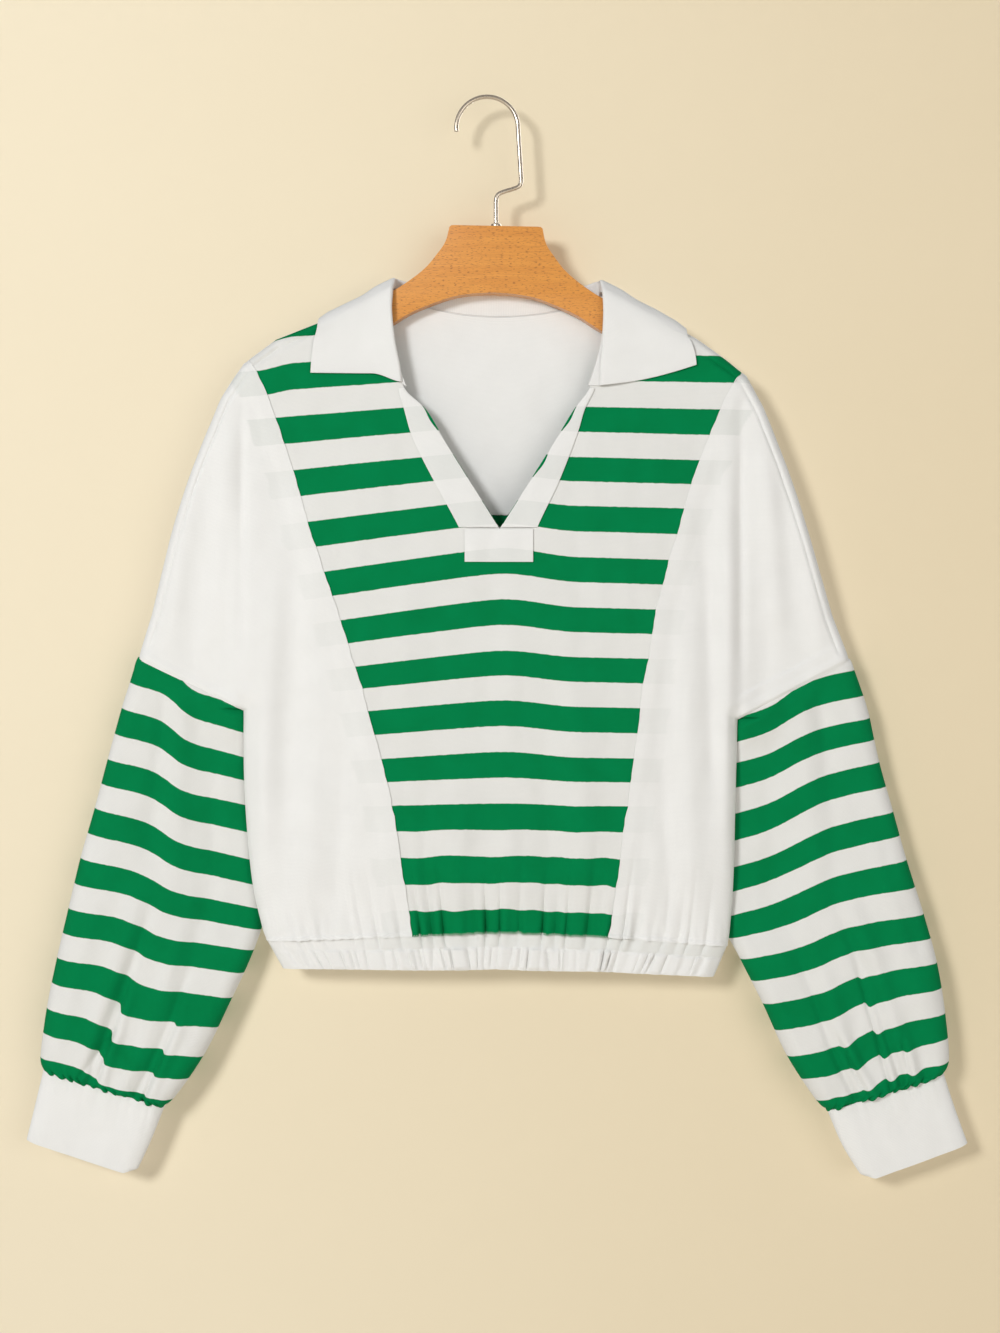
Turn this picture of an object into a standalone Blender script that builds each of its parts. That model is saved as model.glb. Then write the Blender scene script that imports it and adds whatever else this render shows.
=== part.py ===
"""A cropped, striped pullover with a pointed collar, hanging on a wooden hanger.

Metres, +Z up, +X to the right of someone looking at the front, front towards -Y. The origin is the
inside of the hook's crown, where a rail holds the hanger. Tables are in millimetres, measured from
the garment's own centre line, which hangs a little to the right of the hook.
"""

import functools
import math

import bmesh
import bpy
from mathutils import Vector

MM = 0.001

# Cloth
WALL = 1.2  # body and sleeves, one layer of knit
COLLAR_WALL = 1.5
CUFF_WALL = 2.2  # doubled cloth
SEAM_GAP = 0.3
LAYER_GAP = 0.3
EDGE_HALF = 0.7  # half the distance between front and back where they meet at a folded edge

# Where the garment hangs
GARMENT_X = 9.0  # its centre line, right of the hook's crown

# Fullness, as half the distance from front to back
SHOULDER_HALF = 8.8  # over the hanger's arms
CHEST_HALF = 16.0
HEM_HALF = 12.0
SIDE_SHARE = 0.6  # what is left of the fullness at the outer edges
SHOULDER_ROUND = 8.5  # how far in from a folded edge the cloth reaches its full depth
SIDE_ROUND = 20.0
ARM_SET_BACK = 6.0  # the arms hang behind the body's side folds

# The left half of the front, as seen by someone looking at it: the outer edge, the long seam
# between side panel and centre panel, and the neck edge or centre line.
LEFT_ROWS = (
    # outer x, z      seam x, z      inner x, z
    (-202.3, -210.7, -197.6, -208.3, -85.5, -151.8),  # shoulder
    (-220.6, -239.3, -182.5, -240.9, -86.3, -185.2),
    (-242.1, -291.8, -165.8, -290.2, -75.9, -228.2),  # collar's end
    (-251.6, -318.8, -157.0, -318.8, -56.8, -248.8),
    (-260.4, -347.4, -148.3, -349.0, -38.6, -279.0),
    (-276.3, -411.0, -127.6, -409.4, 1.0, -342.6),  # bottom of the V
    (-286.6, -443.6, -118.1, -439.6, 0.0, -382.4),  # outer end of the armhole
    (-244.5, -463.9, -109.5, -466.0, 0.0, -434.0),
    (-202.3, -484.2, -104.5, -485.7, 0.0, -471.4),  # underarm
    (-201.5, -549.3, -87.1, -550.9, 0.0, -545.4),
    (-196.0, -616.9, -76.7, -614.5, 0.0, -611.4),
    (-188.0, -655.9, -71.2, -651.9, 0.0, -648.7),
    (-184.0, -669.4, -69.6, -664.6, 0.0, -661.4),  # waist seam
)
RIGHT_ROWS = (
    (196.8, -220.2, 192.8, -217.8, 85.0, -154.2),
    (210.3, -245.7, 179.3, -242.5, 85.0, -186.8),
    (228.6, -291.8, 160.2, -288.6, 73.5, -228.2),
    (238.1, -318.8, 151.4, -315.6, 59.2, -248.8),
    (247.6, -349.0, 141.9, -347.4, 40.9, -279.0),
    (265.9, -411.0, 125.2, -407.8, 1.0, -342.6),
    (279.4, -445.2, 119.6, -442.0, 0.0, -382.4),
    (234.5, -468.2, 115.2, -466.0, 0.0, -434.0),
    (189.6, -491.3, 112.5, -489.7, 0.0, -471.4),
    (188.0, -553.3, 103.7, -553.3, 0.0, -545.4),
    (186.4, -617.7, 95.0, -617.7, 0.0, -611.4),
    (183.6, -658.3, 90.6, -653.5, 0.0, -648.7),
    (181.7, -673.4, 88.6, -665.4, 0.0, -661.4),
)
V_TIP_ROW, ARMHOLE_ROW, UNDERARM_ROW, WAIST_ROW = 5, 6, 8, 12
YOKE_ROW = 4
# The same rows at the centre line of the back, from the back neck to the waist seam.
BACK_CENTRE_Z = (-174, -209, -255, -291, -327.5, -366, -404, -440, -471.4, -545.4, -611.4, -648.7, -661.4)

# The shoulder line from the neck outwards: x, z
LEFT_SHOULDER = ((-85.5, -151.0), (-141.9, -178.1), (-176.1, -191.6), (-197.6, -207.5), (-202.3, -212.0))
RIGHT_SHOULDER = ((85.0, -153.4), (124.4, -172.5), (157.8, -191.6), (180.1, -207.5), (192.8, -217.8),
                  (196.8, -221.8))

# Mesh lines down the body, in rows of the tables, close together where the cloth turns
CENTRE_LINES = (0, 0.03, 0.08, 0.17, 0.32, 0.6, 1, 1.5, 2, 3, 4, 4.5, 5, 6, 7, 8, 9, 9.65, 10.4, 11.2, 12)
SIDE_LINES = CENTRE_LINES[:14] + (6.07, 6.2, 6.6, 7, 7.4, 7.8, 7.93, 8, 8.45) + CENTRE_LINES[16:]
GATHER_LINES = 3  # how many of the last lines carry the waist gathers
SIDE_COLUMNS = (0, 0.03, 0.1, 0.24, 0.48, 0.74, 1)  # from the outer edge to the long seam
HALF_CENTRE_COLUMNS = 7
NECK_CORNER_COLUMNS = (10.2, 10.5)  # more of them where the back neck turns
BODY_COLUMNS = 2 * (len(SIDE_COLUMNS) - 1 + HALF_CENTRE_COLUMNS)
GATHER_STEPS = 4  # mesh columns to a gather

# Gathers
WAIST_GATHER_DEPTH = 2.4
WAIST_GATHER_RISE = 80.0
CUFF_GATHER_DEPTH = 2.2
CUFF_GATHER_RISE = 85.0

# Long soft folds in the front and back: top x, z, bottom x, z, width, depth (+ stands out)
BODY_FOLDS = (
    (-225, -262, -236, -437, 16, 2.2),
    (-190, -300, -199, -480, 18, 2.4),
    (-166, -370, -176, -560, 20, -1.8),
    (-150, -560, -170, -640, 16, 1.6),
    (208, -264, 220, -430, 15, 2.4),
    (176, -320, 178, -480, 16, -2.0),
    (160, -500, 168, -640, 18, 1.8),
    (30, -560, 38, -650, 22, 1.4),
    (-30, -580, -36, -655, 20, 1.2),
)
FOLD_LEFT_X, FOLD_RIGHT_X = -203.0, 190.5  # where the arms fold behind the body
SET_BACK_WIDTH = 24.0

# Sleeves, from armhole to cuff seam. The first row is the armhole itself.
LEFT_SLEEVE = (
    # outer x, z     inner x, z    set back outer, inner, half depth
    (-286.6, -443.6, -203.6, -483.6, 6, 0, 9),
    (-290.6, -454.0, -206.0, -494.0, 6, 3.5, 9.5),
    (-294.5, -466.7, -203.2, -508.0, 6, 8, 10),
    (-300.1, -484.2, -199.5, -525.5, 6, 12, 10),
    (-311.2, -524.7, -194.5, -563.7, 6, 14, 10),
    (-321.6, -563.7, -190.5, -607.4, 6, 14.6, 10),
    (-332.7, -603.4, -187.5, -645.5, 5, 14, 11),
    (-342.2, -643.2, -196.0, -677.3, 5, 9, 12),
    (-351.0, -682.1, -212.7, -714.7, 4, 6, 12),
    (-358.9, -721.9, -234.9, -760.0, 3, 4, 12),
    (-364.1, -760.8, -258.0, -793.4, 3, 3, 10),
    (-361.3, -771.2, -266.7, -799.8, 3, 3, 7),
)
RIGHT_SLEEVE = (
    (279.4, -445.2, 190.9, -490.7, 6, 0, 9),
    (283.4, -454.0, 192.6, -502.0, 6, 3.5, 9.5),
    (287.4, -465.1, 189.8, -514.0, 6, 8, 10),
    (294.5, -487.3, 185.5, -529.5, 6, 12, 10),
    (303.3, -527.1, 182.0, -570.8, 6, 14.5, 10),
    (314.4, -566.8, 180.5, -613.7, 6, 15, 10),
    (324.8, -605.0, 178.5, -652.0, 5, 15, 11),
    (338.3, -647.9, 193.6, -684.5, 5, 9, 12),
    (348.6, -686.1, 211.1, -719.5, 4, 6, 12),
    (355.0, -725.9, 230.2, -760.8, 3, 4, 12),
    (358.1, -763.2, 253.2, -795.8, 3, 3, 10),
    (353.4, -774.3, 262.0, -803.0, 3, 3, 7),
)
SLEEVE_LINES = (0, 0.5, 1, 2, 3, 4, 5, 6, 7, 8, 9, 9.6, 10.3, 11)
SLEEVE_GATHER_LINES = 3
SLEEVE_COLUMNS = 18
SLEEVE_ROUND = 13.0
# Soft folds on a sleeve: row and share across at the top, the same at the bottom, width, depth
SLEEVE_FOLDS = (
    (1.0, 0.45, 7.0, 0.52, 0.16, 2.6),
    (3.0, 0.72, 8.0, 0.70, 0.12, -2.0),
    (6.0, 0.34, 10.0, 0.38, 0.08, 2.2),
    (6.5, 0.70, 10.5, 0.72, 0.08, 2.4),
)

# Cuffs: outer x, z, inner x, z, half depth, from the sleeve seam to the open end
LEFT_CUFF = ((-361.3, -771.8, -266.7, -800.4, 7), (-368.0, -800.0, -278.0, -829.0, 6.5),
             (-374.8, -827.6, -290.5, -855.5, 6))
RIGHT_CUFF = ((353.4, -774.9, 262.6, -803.6, 7), (362.5, -803.0, 275.0, -832.5, 6.5),
              (372.5, -830.5, 292.2, -860.0, 6))
CUFF_COLUMNS = 24

# Waistband
BAND_HEIGHT = 27.5
BAND_END_TUCK = 13.0  # its ends slant in towards the open edge
BAND_RIGHT_DROP = 1.5

# Collar, from its left front end to the middle of the back. The place of its seam on the neck edge
# is a row of the front's table, or on the back a share of the way to the middle, negative. Then the
# visible fold's x, y, z, the outer edge's x, z, and the way it faces, in degrees from the front:
# between 0 and 180 it rolls over the shoulder line.
LEFT_COLLAR = (
    (2.06, -76.6, -13.1, -226.6, -148.3, -219.4, 0),
    (1.7, -78.3, -13.2, -213.0, -147.6, -209.0, 0),
    (1.25, -81.9, -13.2, -195.0, -145.9, -195.0, 0),
    (0.68, -84.5, -13.0, -172.0, -144.1, -188.0, 0),
    (0.24, -84.7, -11.4, -154.5, -143.0, -181.8, 20),
    (0.1, -84.5, -8.0, -148.6, -142.6, -178.0, 45),
    (0.03, -84.4, -4.2, -144.6, -142.2, -176.0, 70),
    (0.0, -84.3, 0.0, -143.0, -141.9, -174.2, 90),
    (-0.01, -84.2, 4.2, -144.0, -142.0, -176.0, 110),
    (-0.03, -83.6, 8.0, -145.6, -142.0, -178.5, 135),
    (-0.076, -80.0, 10.8, -147.0, -141.0, -184.0, 160),
    (-0.174, -70.6, 12.2, -149.0, -126.0, -202.0, 180),
    (-0.339, -55.0, 12.4, -151.2, -98.0, -215.0, 180),
    (-0.67, -27.6, 12.6, -153.6, -50.0, -221.6, 180),
    (-1.0, 0.0, 12.6, -154.2, 0.0, -223.4, 180),
)
RIGHT_COLLAR = (
    (2.04, 79.9, -13.1, -229.8, 156.2, -213.1, 0),
    (1.7, 80.7, -13.2, -214.0, 155.4, -206.0, 0),
    (1.25, 82.2, -13.2, -195.0, 153.0, -197.4, 0),
    (0.68, 83.2, -13.0, -172.0, 150.6, -192.0, 0),
    (0.24, 83.1, -11.4, -156.0, 149.2, -187.0, 20),
    (0.1, 82.9, -8.0, -150.2, 148.8, -184.8, 45),
    (0.03, 82.8, -4.2, -146.2, 148.4, -183.0, 70),
    (0.0, 82.7, 0.0, -144.6, 148.0, -182.2, 90),
    (-0.01, 82.4, 4.2, -145.6, 148.2, -183.0, 110),
    (-0.03, 81.6, 8.0, -147.0, 147.6, -186.0, 135),
    (-0.076, 78.0, 10.8, -148.0, 146.0, -190.0, 160),
    (-0.15, 70.6, 12.2, -149.8, 128.0, -205.0, 180),
    (-0.32, 54.0, 12.4, -151.8, 98.0, -216.4, 180),
    (-0.66, 27.0, 12.6, -153.8, 50.0, -222.0, 180),
)
COLLAR_SEAM_IN = 1.9  # how far its seam stands inside the neck edge
COLLAR_ROLL = 1.3  # radius of the rolled fold
COLLAR_LIFT = 0.9  # how far it stands off the cloth under it, besides the two half walls
COLLAR_FALL = (0.1, 0.28, 0.5, 0.75, 1.0)  # mesh columns from fold to outer edge

# Strips folded out along the V: row of the front's table and the strip's width there
LEFT_STRIP = ((2.12, 4.0), (2.5, 10.0), (3, 17.0), (3.5, 21.5), (4, 25.0), (4.5, 28.5), (4.97, 31.0))
RIGHT_STRIP = ((2.12, 3.2), (2.5, 5.0), (3, 8.0), (3.5, 12.0), (4, 16.5), (4.5, 24.0), (4.97, 28.5))
TAB_LEFT, TAB_RIGHT, TAB_TOP, TAB_BOTTOM = -26.5, 27.2, -343.2, -368.9

# Hanger, half of its outline from the middle outwards: x, z
WOOD_THICKNESS = 11.0
WOOD_EDGE_ROUND = 3.4
WOOD_TILT = math.radians(1.1)  # its left end hangs higher
WOOD_TOP = ((37.0, -102.6), (39.8, -115.3), (47.7, -127.2), (56.0, -137.1), (68.4, -147.2),
            (83.5, -156.8), (104.0, -166.2), (125.0, -177.0), (150.0, -191.0), (172.0, -206.4))
WOOD_TIP = ((184.5, -219.0), (187.0, -225.5), (183.5, -230.5), (176.0, -230.6))
WOOD_UNDERSIDE = ((150.0, -216.0), (124.0, -201.5), (103.0, -192.0), (82.7, -182.4), (63.6, -170.9),
                  (36.0, -159.8), (18.0, -156.2))
WOOD_MIDDLE_UNDER = (0.0, -155.0)

# Hook
WIRE = 3.4
HOOK_RADIUS = 24.5  # of the wire's middle
HOOK_TIP_TURN = math.radians(97)
STEM_X = 7.0
STEM_JOG_Z = -76.0
SHANK_X = 27.0
FERRULE_RADIUS = 4.0
FERRULE_HEIGHT = 2.6

# Colours, linear
WHITE = (0.84, 0.83, 0.80, 1)
GREEN = (0.01, 0.21, 0.065, 1)
BEECH = (0.70, 0.31, 0.08, 1)
NICKEL = (0.62, 0.58, 0.52, 1)


# ---------------------------------------------------------------- curves and fields


def mix(a, b, share):
    return a + (b - a) * share


def ease(start, end, value):
    """0 before start, 1 after end, and smooth between."""
    share = min(max((value - start) / (end - start), 0.0), 1.0)
    return share * share * (3 - 2 * share)


def through(points, place):
    """A smooth curve through the points: place 0 is the first one, 1 the next."""
    last = len(points) - 1
    index = min(int(place), last - 1)
    t = place - index
    before = points[max(index - 1, 0)]
    here, there = points[index], points[index + 1]
    after = points[min(index + 2, last)]
    values = []
    for p, q, r, s in zip(before, here, there, after):
        bend = (2 * p - 5 * q + 4 * r - s) * t * t + (3 * q - p - 3 * r + s) * t * t * t
        values.append(0.5 * (2 * q + (r - p) * t + bend))
    return values


def along(points, x):
    """z at x on a line of x, z points whose x runs one way."""
    ordered = sorted(points)
    for (x0, z0), (x1, z1) in zip(ordered, ordered[1:]):
        if x <= x1:
            return z0 + (z1 - z0) * (x - x0) / (x1 - x0)
    return ordered[-1][1]


def outer_points(rows, first, last):
    return [(row[0], row[1]) for row in rows[first:last + 1]]


FOLDED_EDGES = (
    (1, list(LEFT_SHOULDER) + outer_points(LEFT_ROWS, 1, ARMHOLE_ROW)),
    (1, outer_points(LEFT_ROWS, UNDERARM_ROW, WAIST_ROW)),
    (-1, list(RIGHT_SHOULDER) + outer_points(RIGHT_ROWS, 1, ARMHOLE_ROW)),
    (-1, outer_points(RIGHT_ROWS, UNDERARM_ROW, WAIST_ROW)),
)


def reach_in(x, z):
    """How far a point of the body lies inside its nearest folded edge, negative outside.

    The edges stop at the armhole, which is open, so a point past their ends lies inside."""
    nearest, inside = 1e9, 1
    for turn, points in FOLDED_EDGES:
        for (x0, z0), (x1, z1) in zip(points, points[1:]):
            dx, dz = x1 - x0, z1 - z0
            share = ((x - x0) * dx + (z - z0) * dz) / (dx * dx + dz * dz)
            share = min(max(share, 0.0), 1.0)
            gap = math.hypot(x - x0 - share * dx, z - z0 - share * dz)
            if gap < nearest - 1e-9:
                nearest = gap
                past_end = (x0, z0) == points[0] and share == 0 or (x1, z1) == points[-1] and share == 1
                beyond = turn * (dx * (z - z0) - dz * (x - x0)) < 0
                inside = -1 if beyond and not past_end else 1
    return nearest * inside


def rounded(share):
    """A quarter round: 0 at the edge, 1 where the cloth lies at its full depth."""
    share = min(max(share, 0.0), 1.0)
    return math.sqrt(1 - (1 - share) ** 2)


def fullness(x, z):
    chest = mix(SHOULDER_HALF, CHEST_HALF, ease(-190, -420, z))
    chest = mix(chest, HEM_HALF, ease(-600, -662, z))
    return max(chest * mix(1, SIDE_SHARE, ease(70, 230, abs(x))), SHOULDER_HALF)


def half_depth(x, z, out=0.0):
    """Half the distance from front to back at x, z, on a surface moved out by a distance."""
    turn = mix(SHOULDER_ROUND, SIDE_ROUND, ease(-400, -560, z))
    full = fullness(x, z) + out
    edge = 0.0 if out else EDGE_HALF
    return edge + (full - edge) * rounded((reach_in(x, z) + out) / (turn + out))


def set_back(x, z):
    """The arms fold back behind the body's sides, more so towards the underarm."""
    drop = ease(-270, -470, z)
    left = ease(FOLD_LEFT_X, FOLD_LEFT_X - SET_BACK_WIDTH, x)
    right = ease(FOLD_RIGHT_X, FOLD_RIGHT_X + SET_BACK_WIDTH, x)
    return ARM_SET_BACK * drop * max(left, right)


def folds(table, x, z):
    """The height of long soft folds, each fading at both ends."""
    height = 0.0
    for x0, z0, x1, z1, width, depth in table:
        dx, dz = x1 - x0, z1 - z0
        length = math.hypot(dx, dz)
        share = ((x - x0) * dx + (z - z0) * dz) / length ** 2
        across = ((x - x0) * dz - (z - z0) * dx) / length
        ends = ease(-0.15, 0.3, share) * ease(1.15, 0.75, share)
        height += depth * ends * math.exp(-((across / width) ** 2) * 2)
    return height


def uneven(number, low, high):
    """A fixed, irregular value between low and high for gather number so and so."""
    return mix(low, high, (math.sin(number * 12.9898 + 4.1) * 43758.5453) % 1.0)


def gather(column, above, depth, rise):
    """One gather to a column, deepest at the seam and gone at its own height above it."""
    number = math.floor(column)
    height = rise * uneven(number, 0.5, 1.0)
    fade = max(1 - max(above, 0) / height, 0.0) ** 1.6
    return depth * uneven(number + 50, 0.6, 1.0) * fade * math.sin(2 * math.pi * column)


# ---------------------------------------------------------------- the body's surface


def back_neck_z(shoulder, x):
    neck_x, neck_z = shoulder[0]
    return mix(neck_z, BACK_CENTRE_Z[0], (1 - (x / neck_x) ** 2) ** 0.7)


def row_point(rows, row, part, share, back):
    """A point of one table row, in the side panel or in the centre panel."""
    outer_x, outer_z, seam_x, seam_z, inner_x, inner_z = rows[row]
    if part == "side":
        return mix(outer_x, seam_x, share), mix(outer_z, seam_z, share)
    shoulder = LEFT_SHOULDER if seam_x < 0 else RIGHT_SHOULDER
    if back:
        inner_x, inner_z = 0.0, BACK_CENTRE_Z[row]
    x, z = mix(seam_x, inner_x, share), mix(seam_z, inner_z, share)
    if row:
        return x, z
    return x, along(shoulder, x) if abs(x) >= abs(shoulder[0][0]) else back_neck_z(shoulder, x)


def body_point(rows, part, share, line, back=False):
    """x, z on the body at a mesh line, smooth between the table's corners."""
    for first, last in ((0, V_TIP_ROW), (V_TIP_ROW, ARMHOLE_ROW), (ARMHOLE_ROW, UNDERARM_ROW),
                        (UNDERARM_ROW, WAIST_ROW)):
        if line <= last:
            controls = [row_point(rows, row, part, share, back) for row in range(first, last + 1)]
            return through(controls, line - first)


def side_share(column, line):
    """How far a side panel's column lies in from the outer edge, even at the waist."""
    last = len(SIDE_COLUMNS) - 1
    index = min(int(column), last - 1)
    close = mix(SIDE_COLUMNS[index], SIDE_COLUMNS[index + 1], column - index)
    return mix(close, column / last, ease(8.5, 10.2, line))


def body_column(column, line, back=False, right=False):
    """x, z of a column counted across the whole width, from the left edge to the right."""
    sides, half = len(SIDE_COLUMNS) - 1, HALF_CENTRE_COLUMNS
    rows = RIGHT_ROWS if right else LEFT_ROWS
    inward = BODY_COLUMNS - column if right else column
    if inward <= sides:
        return body_point(rows, "side", side_share(inward, line), line, back)
    return body_point(rows, "centre", (inward - sides) / half, line, back)


def waist_z(x):
    seams = [LEFT_ROWS[-1], RIGHT_ROWS[-1]]
    points = [(row[i], row[i + 1]) for row in seams for i in (0, 2)]
    return along(points + [(0.0, LEFT_ROWS[-1][5])], x)


def body_surface(column, line, facing, right=False):
    """The wall's middle at a column and a line; facing is -1 on the front, 1 on the back."""
    x, z = body_column(column, line, facing > 0, right)
    depth = half_depth(x, z)
    share = rounded(reach_in(x, z) / SIDE_ROUND)
    pleat = gather(column + 0.5 * facing, z - waist_z(x), WAIST_GATHER_DEPTH, WAIST_GATHER_RISE)
    depth += share * (pleat + folds(BODY_FOLDS, x * -facing, z))
    return Vector((x, set_back(x, z) + facing * depth, z))


# ---------------------------------------------------------------- mesh helpers


def material(name, colour, roughness, metallic=0.0):
    made = bpy.data.materials.new(name)
    made.use_nodes = True
    surface = made.node_tree.nodes["Principled BSDF"]
    surface.inputs["Base Color"].default_value = colour
    surface.inputs["Roughness"].default_value = roughness
    surface.inputs["Metallic"].default_value = metallic
    made.diffuse_color = colour
    return made


def spread(values, place):
    """The value at a place between entries of a list, exact on an entry."""
    place = round(place, 4)
    index = int(place)
    if place == index:
        return values[index]
    return mix(values[index], values[index + 1], place - index)


def add_patch(mesh, surface, columns, lines, fine_lines=0, fine_steps=1):
    """A grid whose points are placed by surface(column, line), finer over its last lines."""
    made = bmesh.ops.create_grid(mesh, x_segments=len(columns) - 1, y_segments=len(lines) - 1, size=0.5)
    corners = set(made["verts"])
    if fine_lines:
        below = (len(lines) - 1 - fine_lines) / (len(lines) - 1) - 0.5 - 1e-4
        across = [edge for edge in mesh.edges
                  if set(edge.verts) <= corners
                  and abs(edge.verts[0].co.y - edge.verts[1].co.y) < 1e-6
                  and edge.verts[0].co.y > below]
        bmesh.ops.subdivide_edges(mesh, edges=across, cuts=fine_steps - 1, use_grid_fill=True)
    placed = [vert for vert in mesh.verts if vert.tag is False]
    for vert in placed:
        column = spread(columns, (vert.co.x + 0.5) * (len(columns) - 1))
        line = spread(lines, (vert.co.y + 0.5) * (len(lines) - 1))
        vert.co = surface(column, line)
        vert.tag = True


def cloth(name, look, wall, patches):
    """One piece of cloth: patches joined where they meet, given a wall on both sides."""
    mesh = bmesh.new()
    for patch in patches:
        add_patch(mesh, **patch)
    bmesh.ops.remove_doubles(mesh, verts=mesh.verts[:], dist=0.02)
    bmesh.ops.recalc_face_normals(mesh, faces=mesh.faces[:])
    bmesh.ops.scale(mesh, vec=(MM, MM, MM), verts=mesh.verts[:])
    data = bpy.data.meshes.new(name)
    mesh.to_mesh(data)
    mesh.free()
    data.shade_smooth()
    data.materials.append(look)
    piece = bpy.data.objects.new(name, data)
    parts.objects.link(piece)
    piece.parent = garment
    wall_made = piece.modifiers.new("wall", "SOLIDIFY")
    wall_made.thickness = wall * MM
    wall_made.offset = 0
    return piece


def counted(first, last):
    return list(range(first, last + 1))


# ---------------------------------------------------------------- front and back


def body_panel(name, look, facing, columns, lines, shift=(0, 0)):
    """A body panel over some columns, drawn in from its seams by half the seam gap."""
    half_gap = SEAM_GAP / 2 + 0.05
    first, last = columns[0], columns[-1]
    gathered = lines[-1] == WAIST_ROW

    def place(column, line, right):
        point = body_surface(column, line, facing, right)
        if column == first and shift[0]:
            point.x += half_gap
        if column == last and shift[1]:
            point.x -= half_gap
        if line == WAIST_ROW or (line == YOKE_ROW and line == lines[-1]):
            point.z += half_gap
        if line == YOKE_ROW and line == lines[0]:
            point.z -= half_gap
        if ARMHOLE_ROW <= line <= UNDERARM_ROW and column in (0, BODY_COLUMNS):
            point.z += half_gap
            point.x += half_gap if column == 0 else -half_gap
        return point

    halves = [(first, last)]
    middle = BODY_COLUMNS // 2
    if first < middle < last:
        halves = [(first, middle), (middle, last)]
    patches = []
    for start, end in halves:
        surface = functools.partial(place, right=start >= middle)
        within = [column for column in columns if start <= column <= end]
        patches.append(dict(surface=surface, columns=within, lines=lines,
                            fine_lines=GATHER_LINES if gathered else 0, fine_steps=GATHER_STEPS))
    return cloth(name, look, WALL, patches)


def body_panels():
    left_seam = len(SIDE_COLUMNS) - 1
    right_seam = BODY_COLUMNS - left_seam
    centre = counted(left_seam, right_seam)
    neck_corners = [BODY_COLUMNS - column for column in NECK_CORNER_COLUMNS]
    yoke = sorted(centre + list(NECK_CORNER_COLUMNS) + neck_corners)
    upper = [line for line in CENTRE_LINES if line <= YOKE_ROW]
    lower = [line for line in CENTRE_LINES if line >= YOKE_ROW]
    sides = (("left", counted(0, left_seam), (0, 1)),
             ("right", counted(right_seam, BODY_COLUMNS), (1, 0)))
    for side, columns, shift in sides:
        body_panel("front_side_" + side, white, -1, columns, SIDE_LINES, shift)
        body_panel("back_side_" + side, white, 1, columns, SIDE_LINES, shift)
    body_panel("front_centre", green, -1, centre, CENTRE_LINES, (1, 1))
    body_panel("back_yoke", white, 1, yoke, upper, (1, 1))
    body_panel("back_centre", green, 1, centre, lower, (1, 1))


def waistband():
    """A gathered tube below the body, whose upper edge follows the body's own lower edge."""
    around = BODY_COLUMNS * GATHER_STEPS

    def place(column, line):
        turn = column / GATHER_STEPS
        facing = -1 if turn < BODY_COLUMNS else 1
        across = turn if facing < 0 else 2 * BODY_COLUMNS - turn
        point = body_surface(across, WAIST_ROW, facing, across > BODY_COLUMNS / 2)
        middle = mix(LEFT_ROWS[-1][0], RIGHT_ROWS[-1][0], 0.5)
        half = (RIGHT_ROWS[-1][0] - LEFT_ROWS[-1][0]) / 2
        if across in (0, BODY_COLUMNS):
            point.y = 0.0
        point.x = middle + (point.x - middle) * (1 - line * BAND_END_TUCK / half)
        point.y *= 1 - 0.12 * line
        drop = BAND_HEIGHT * line * mix(0.94, 1.0 + BAND_RIGHT_DROP / BAND_HEIGHT, across / BODY_COLUMNS)
        point.z -= SEAM_GAP / 2 + 0.05 + drop
        return point

    cloth("waistband", white, WALL, [dict(surface=place, columns=counted(0, 2 * around),
                                          lines=[0, 1])])


# ---------------------------------------------------------------- sleeves and cuffs


def tube_place(column, columns):
    """Share across the flattened tube from its outer to its inner edge, and the face."""
    angle = 2 * math.pi * column / columns
    return (1 - math.cos(angle)) / 2, -1 if column <= columns / 2 else 1


# The sleeve's folds in the units of folds(): hundredths across, tenths of a row down
SLEEVE_FOLD_LINES = [(100 * t0, -10 * r0, 100 * t1, -10 * r1, 100 * width, depth)
                     for r0, t0, r1, t1, width, depth in SLEEVE_FOLDS]


def sleeve(side, rows):
    last = len(rows) - 1

    def place(column, line):
        share, facing = tube_place(column, SLEEVE_COLUMNS)
        outer_x, outer_z, inner_x, inner_z, outer_back, inner_back, full = through(rows, line)
        x, z = mix(outer_x, inner_x, share), mix(outer_z, inner_z, share)
        width = math.hypot(outer_x - inner_x, outer_z - inner_z)
        from_edge = width * min(share, 1 - share)
        depth = full * rounded(from_edge / SLEEVE_ROUND)
        back = mix(outer_back, inner_back, ease(0.1, 1, share))
        if line < 1:
            at_armhole = half_depth(x, z) if 0 < share < 1 else 0.0
            depth = mix(at_armhole, depth, line)
            back = mix(set_back(x, z), back, line)
        above = (last - line) * 30.0
        pleat = gather(column, above, CUFF_GATHER_DEPTH, CUFF_GATHER_RISE)
        soft = folds(SLEEVE_FOLD_LINES, share * 100, line * -10)
        depth += rounded(from_edge / SLEEVE_ROUND) * (pleat + (soft if line >= 1 else soft * line))
        if line == 0:
            z -= 2.8 * SEAM_GAP
        return Vector((x, back + facing * depth, z))

    cloth("sleeve_" + side, green, WALL,
          [dict(surface=place, columns=counted(0, SLEEVE_COLUMNS), lines=SLEEVE_LINES,
                fine_lines=SLEEVE_GATHER_LINES, fine_steps=GATHER_STEPS)])


def cuff(side, rows):
    def place(column, line):
        share, facing = tube_place(column, CUFF_COLUMNS)
        outer_x, outer_z, inner_x, inner_z, full = through(rows, line)
        width = math.hypot(outer_x - inner_x, outer_z - inner_z)
        depth = full * rounded(width * min(share, 1 - share) / SLEEVE_ROUND)
        back = LEFT_SLEEVE[-1][4]
        return Vector((mix(outer_x, inner_x, share), back + facing * depth, mix(outer_z, inner_z, share)))

    cloth("cuff_" + side, white, CUFF_WALL,
          [dict(surface=place, columns=counted(0, CUFF_COLUMNS), lines=[0, 1, 2])])


# ---------------------------------------------------------------- collar, strips and tab


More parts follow.
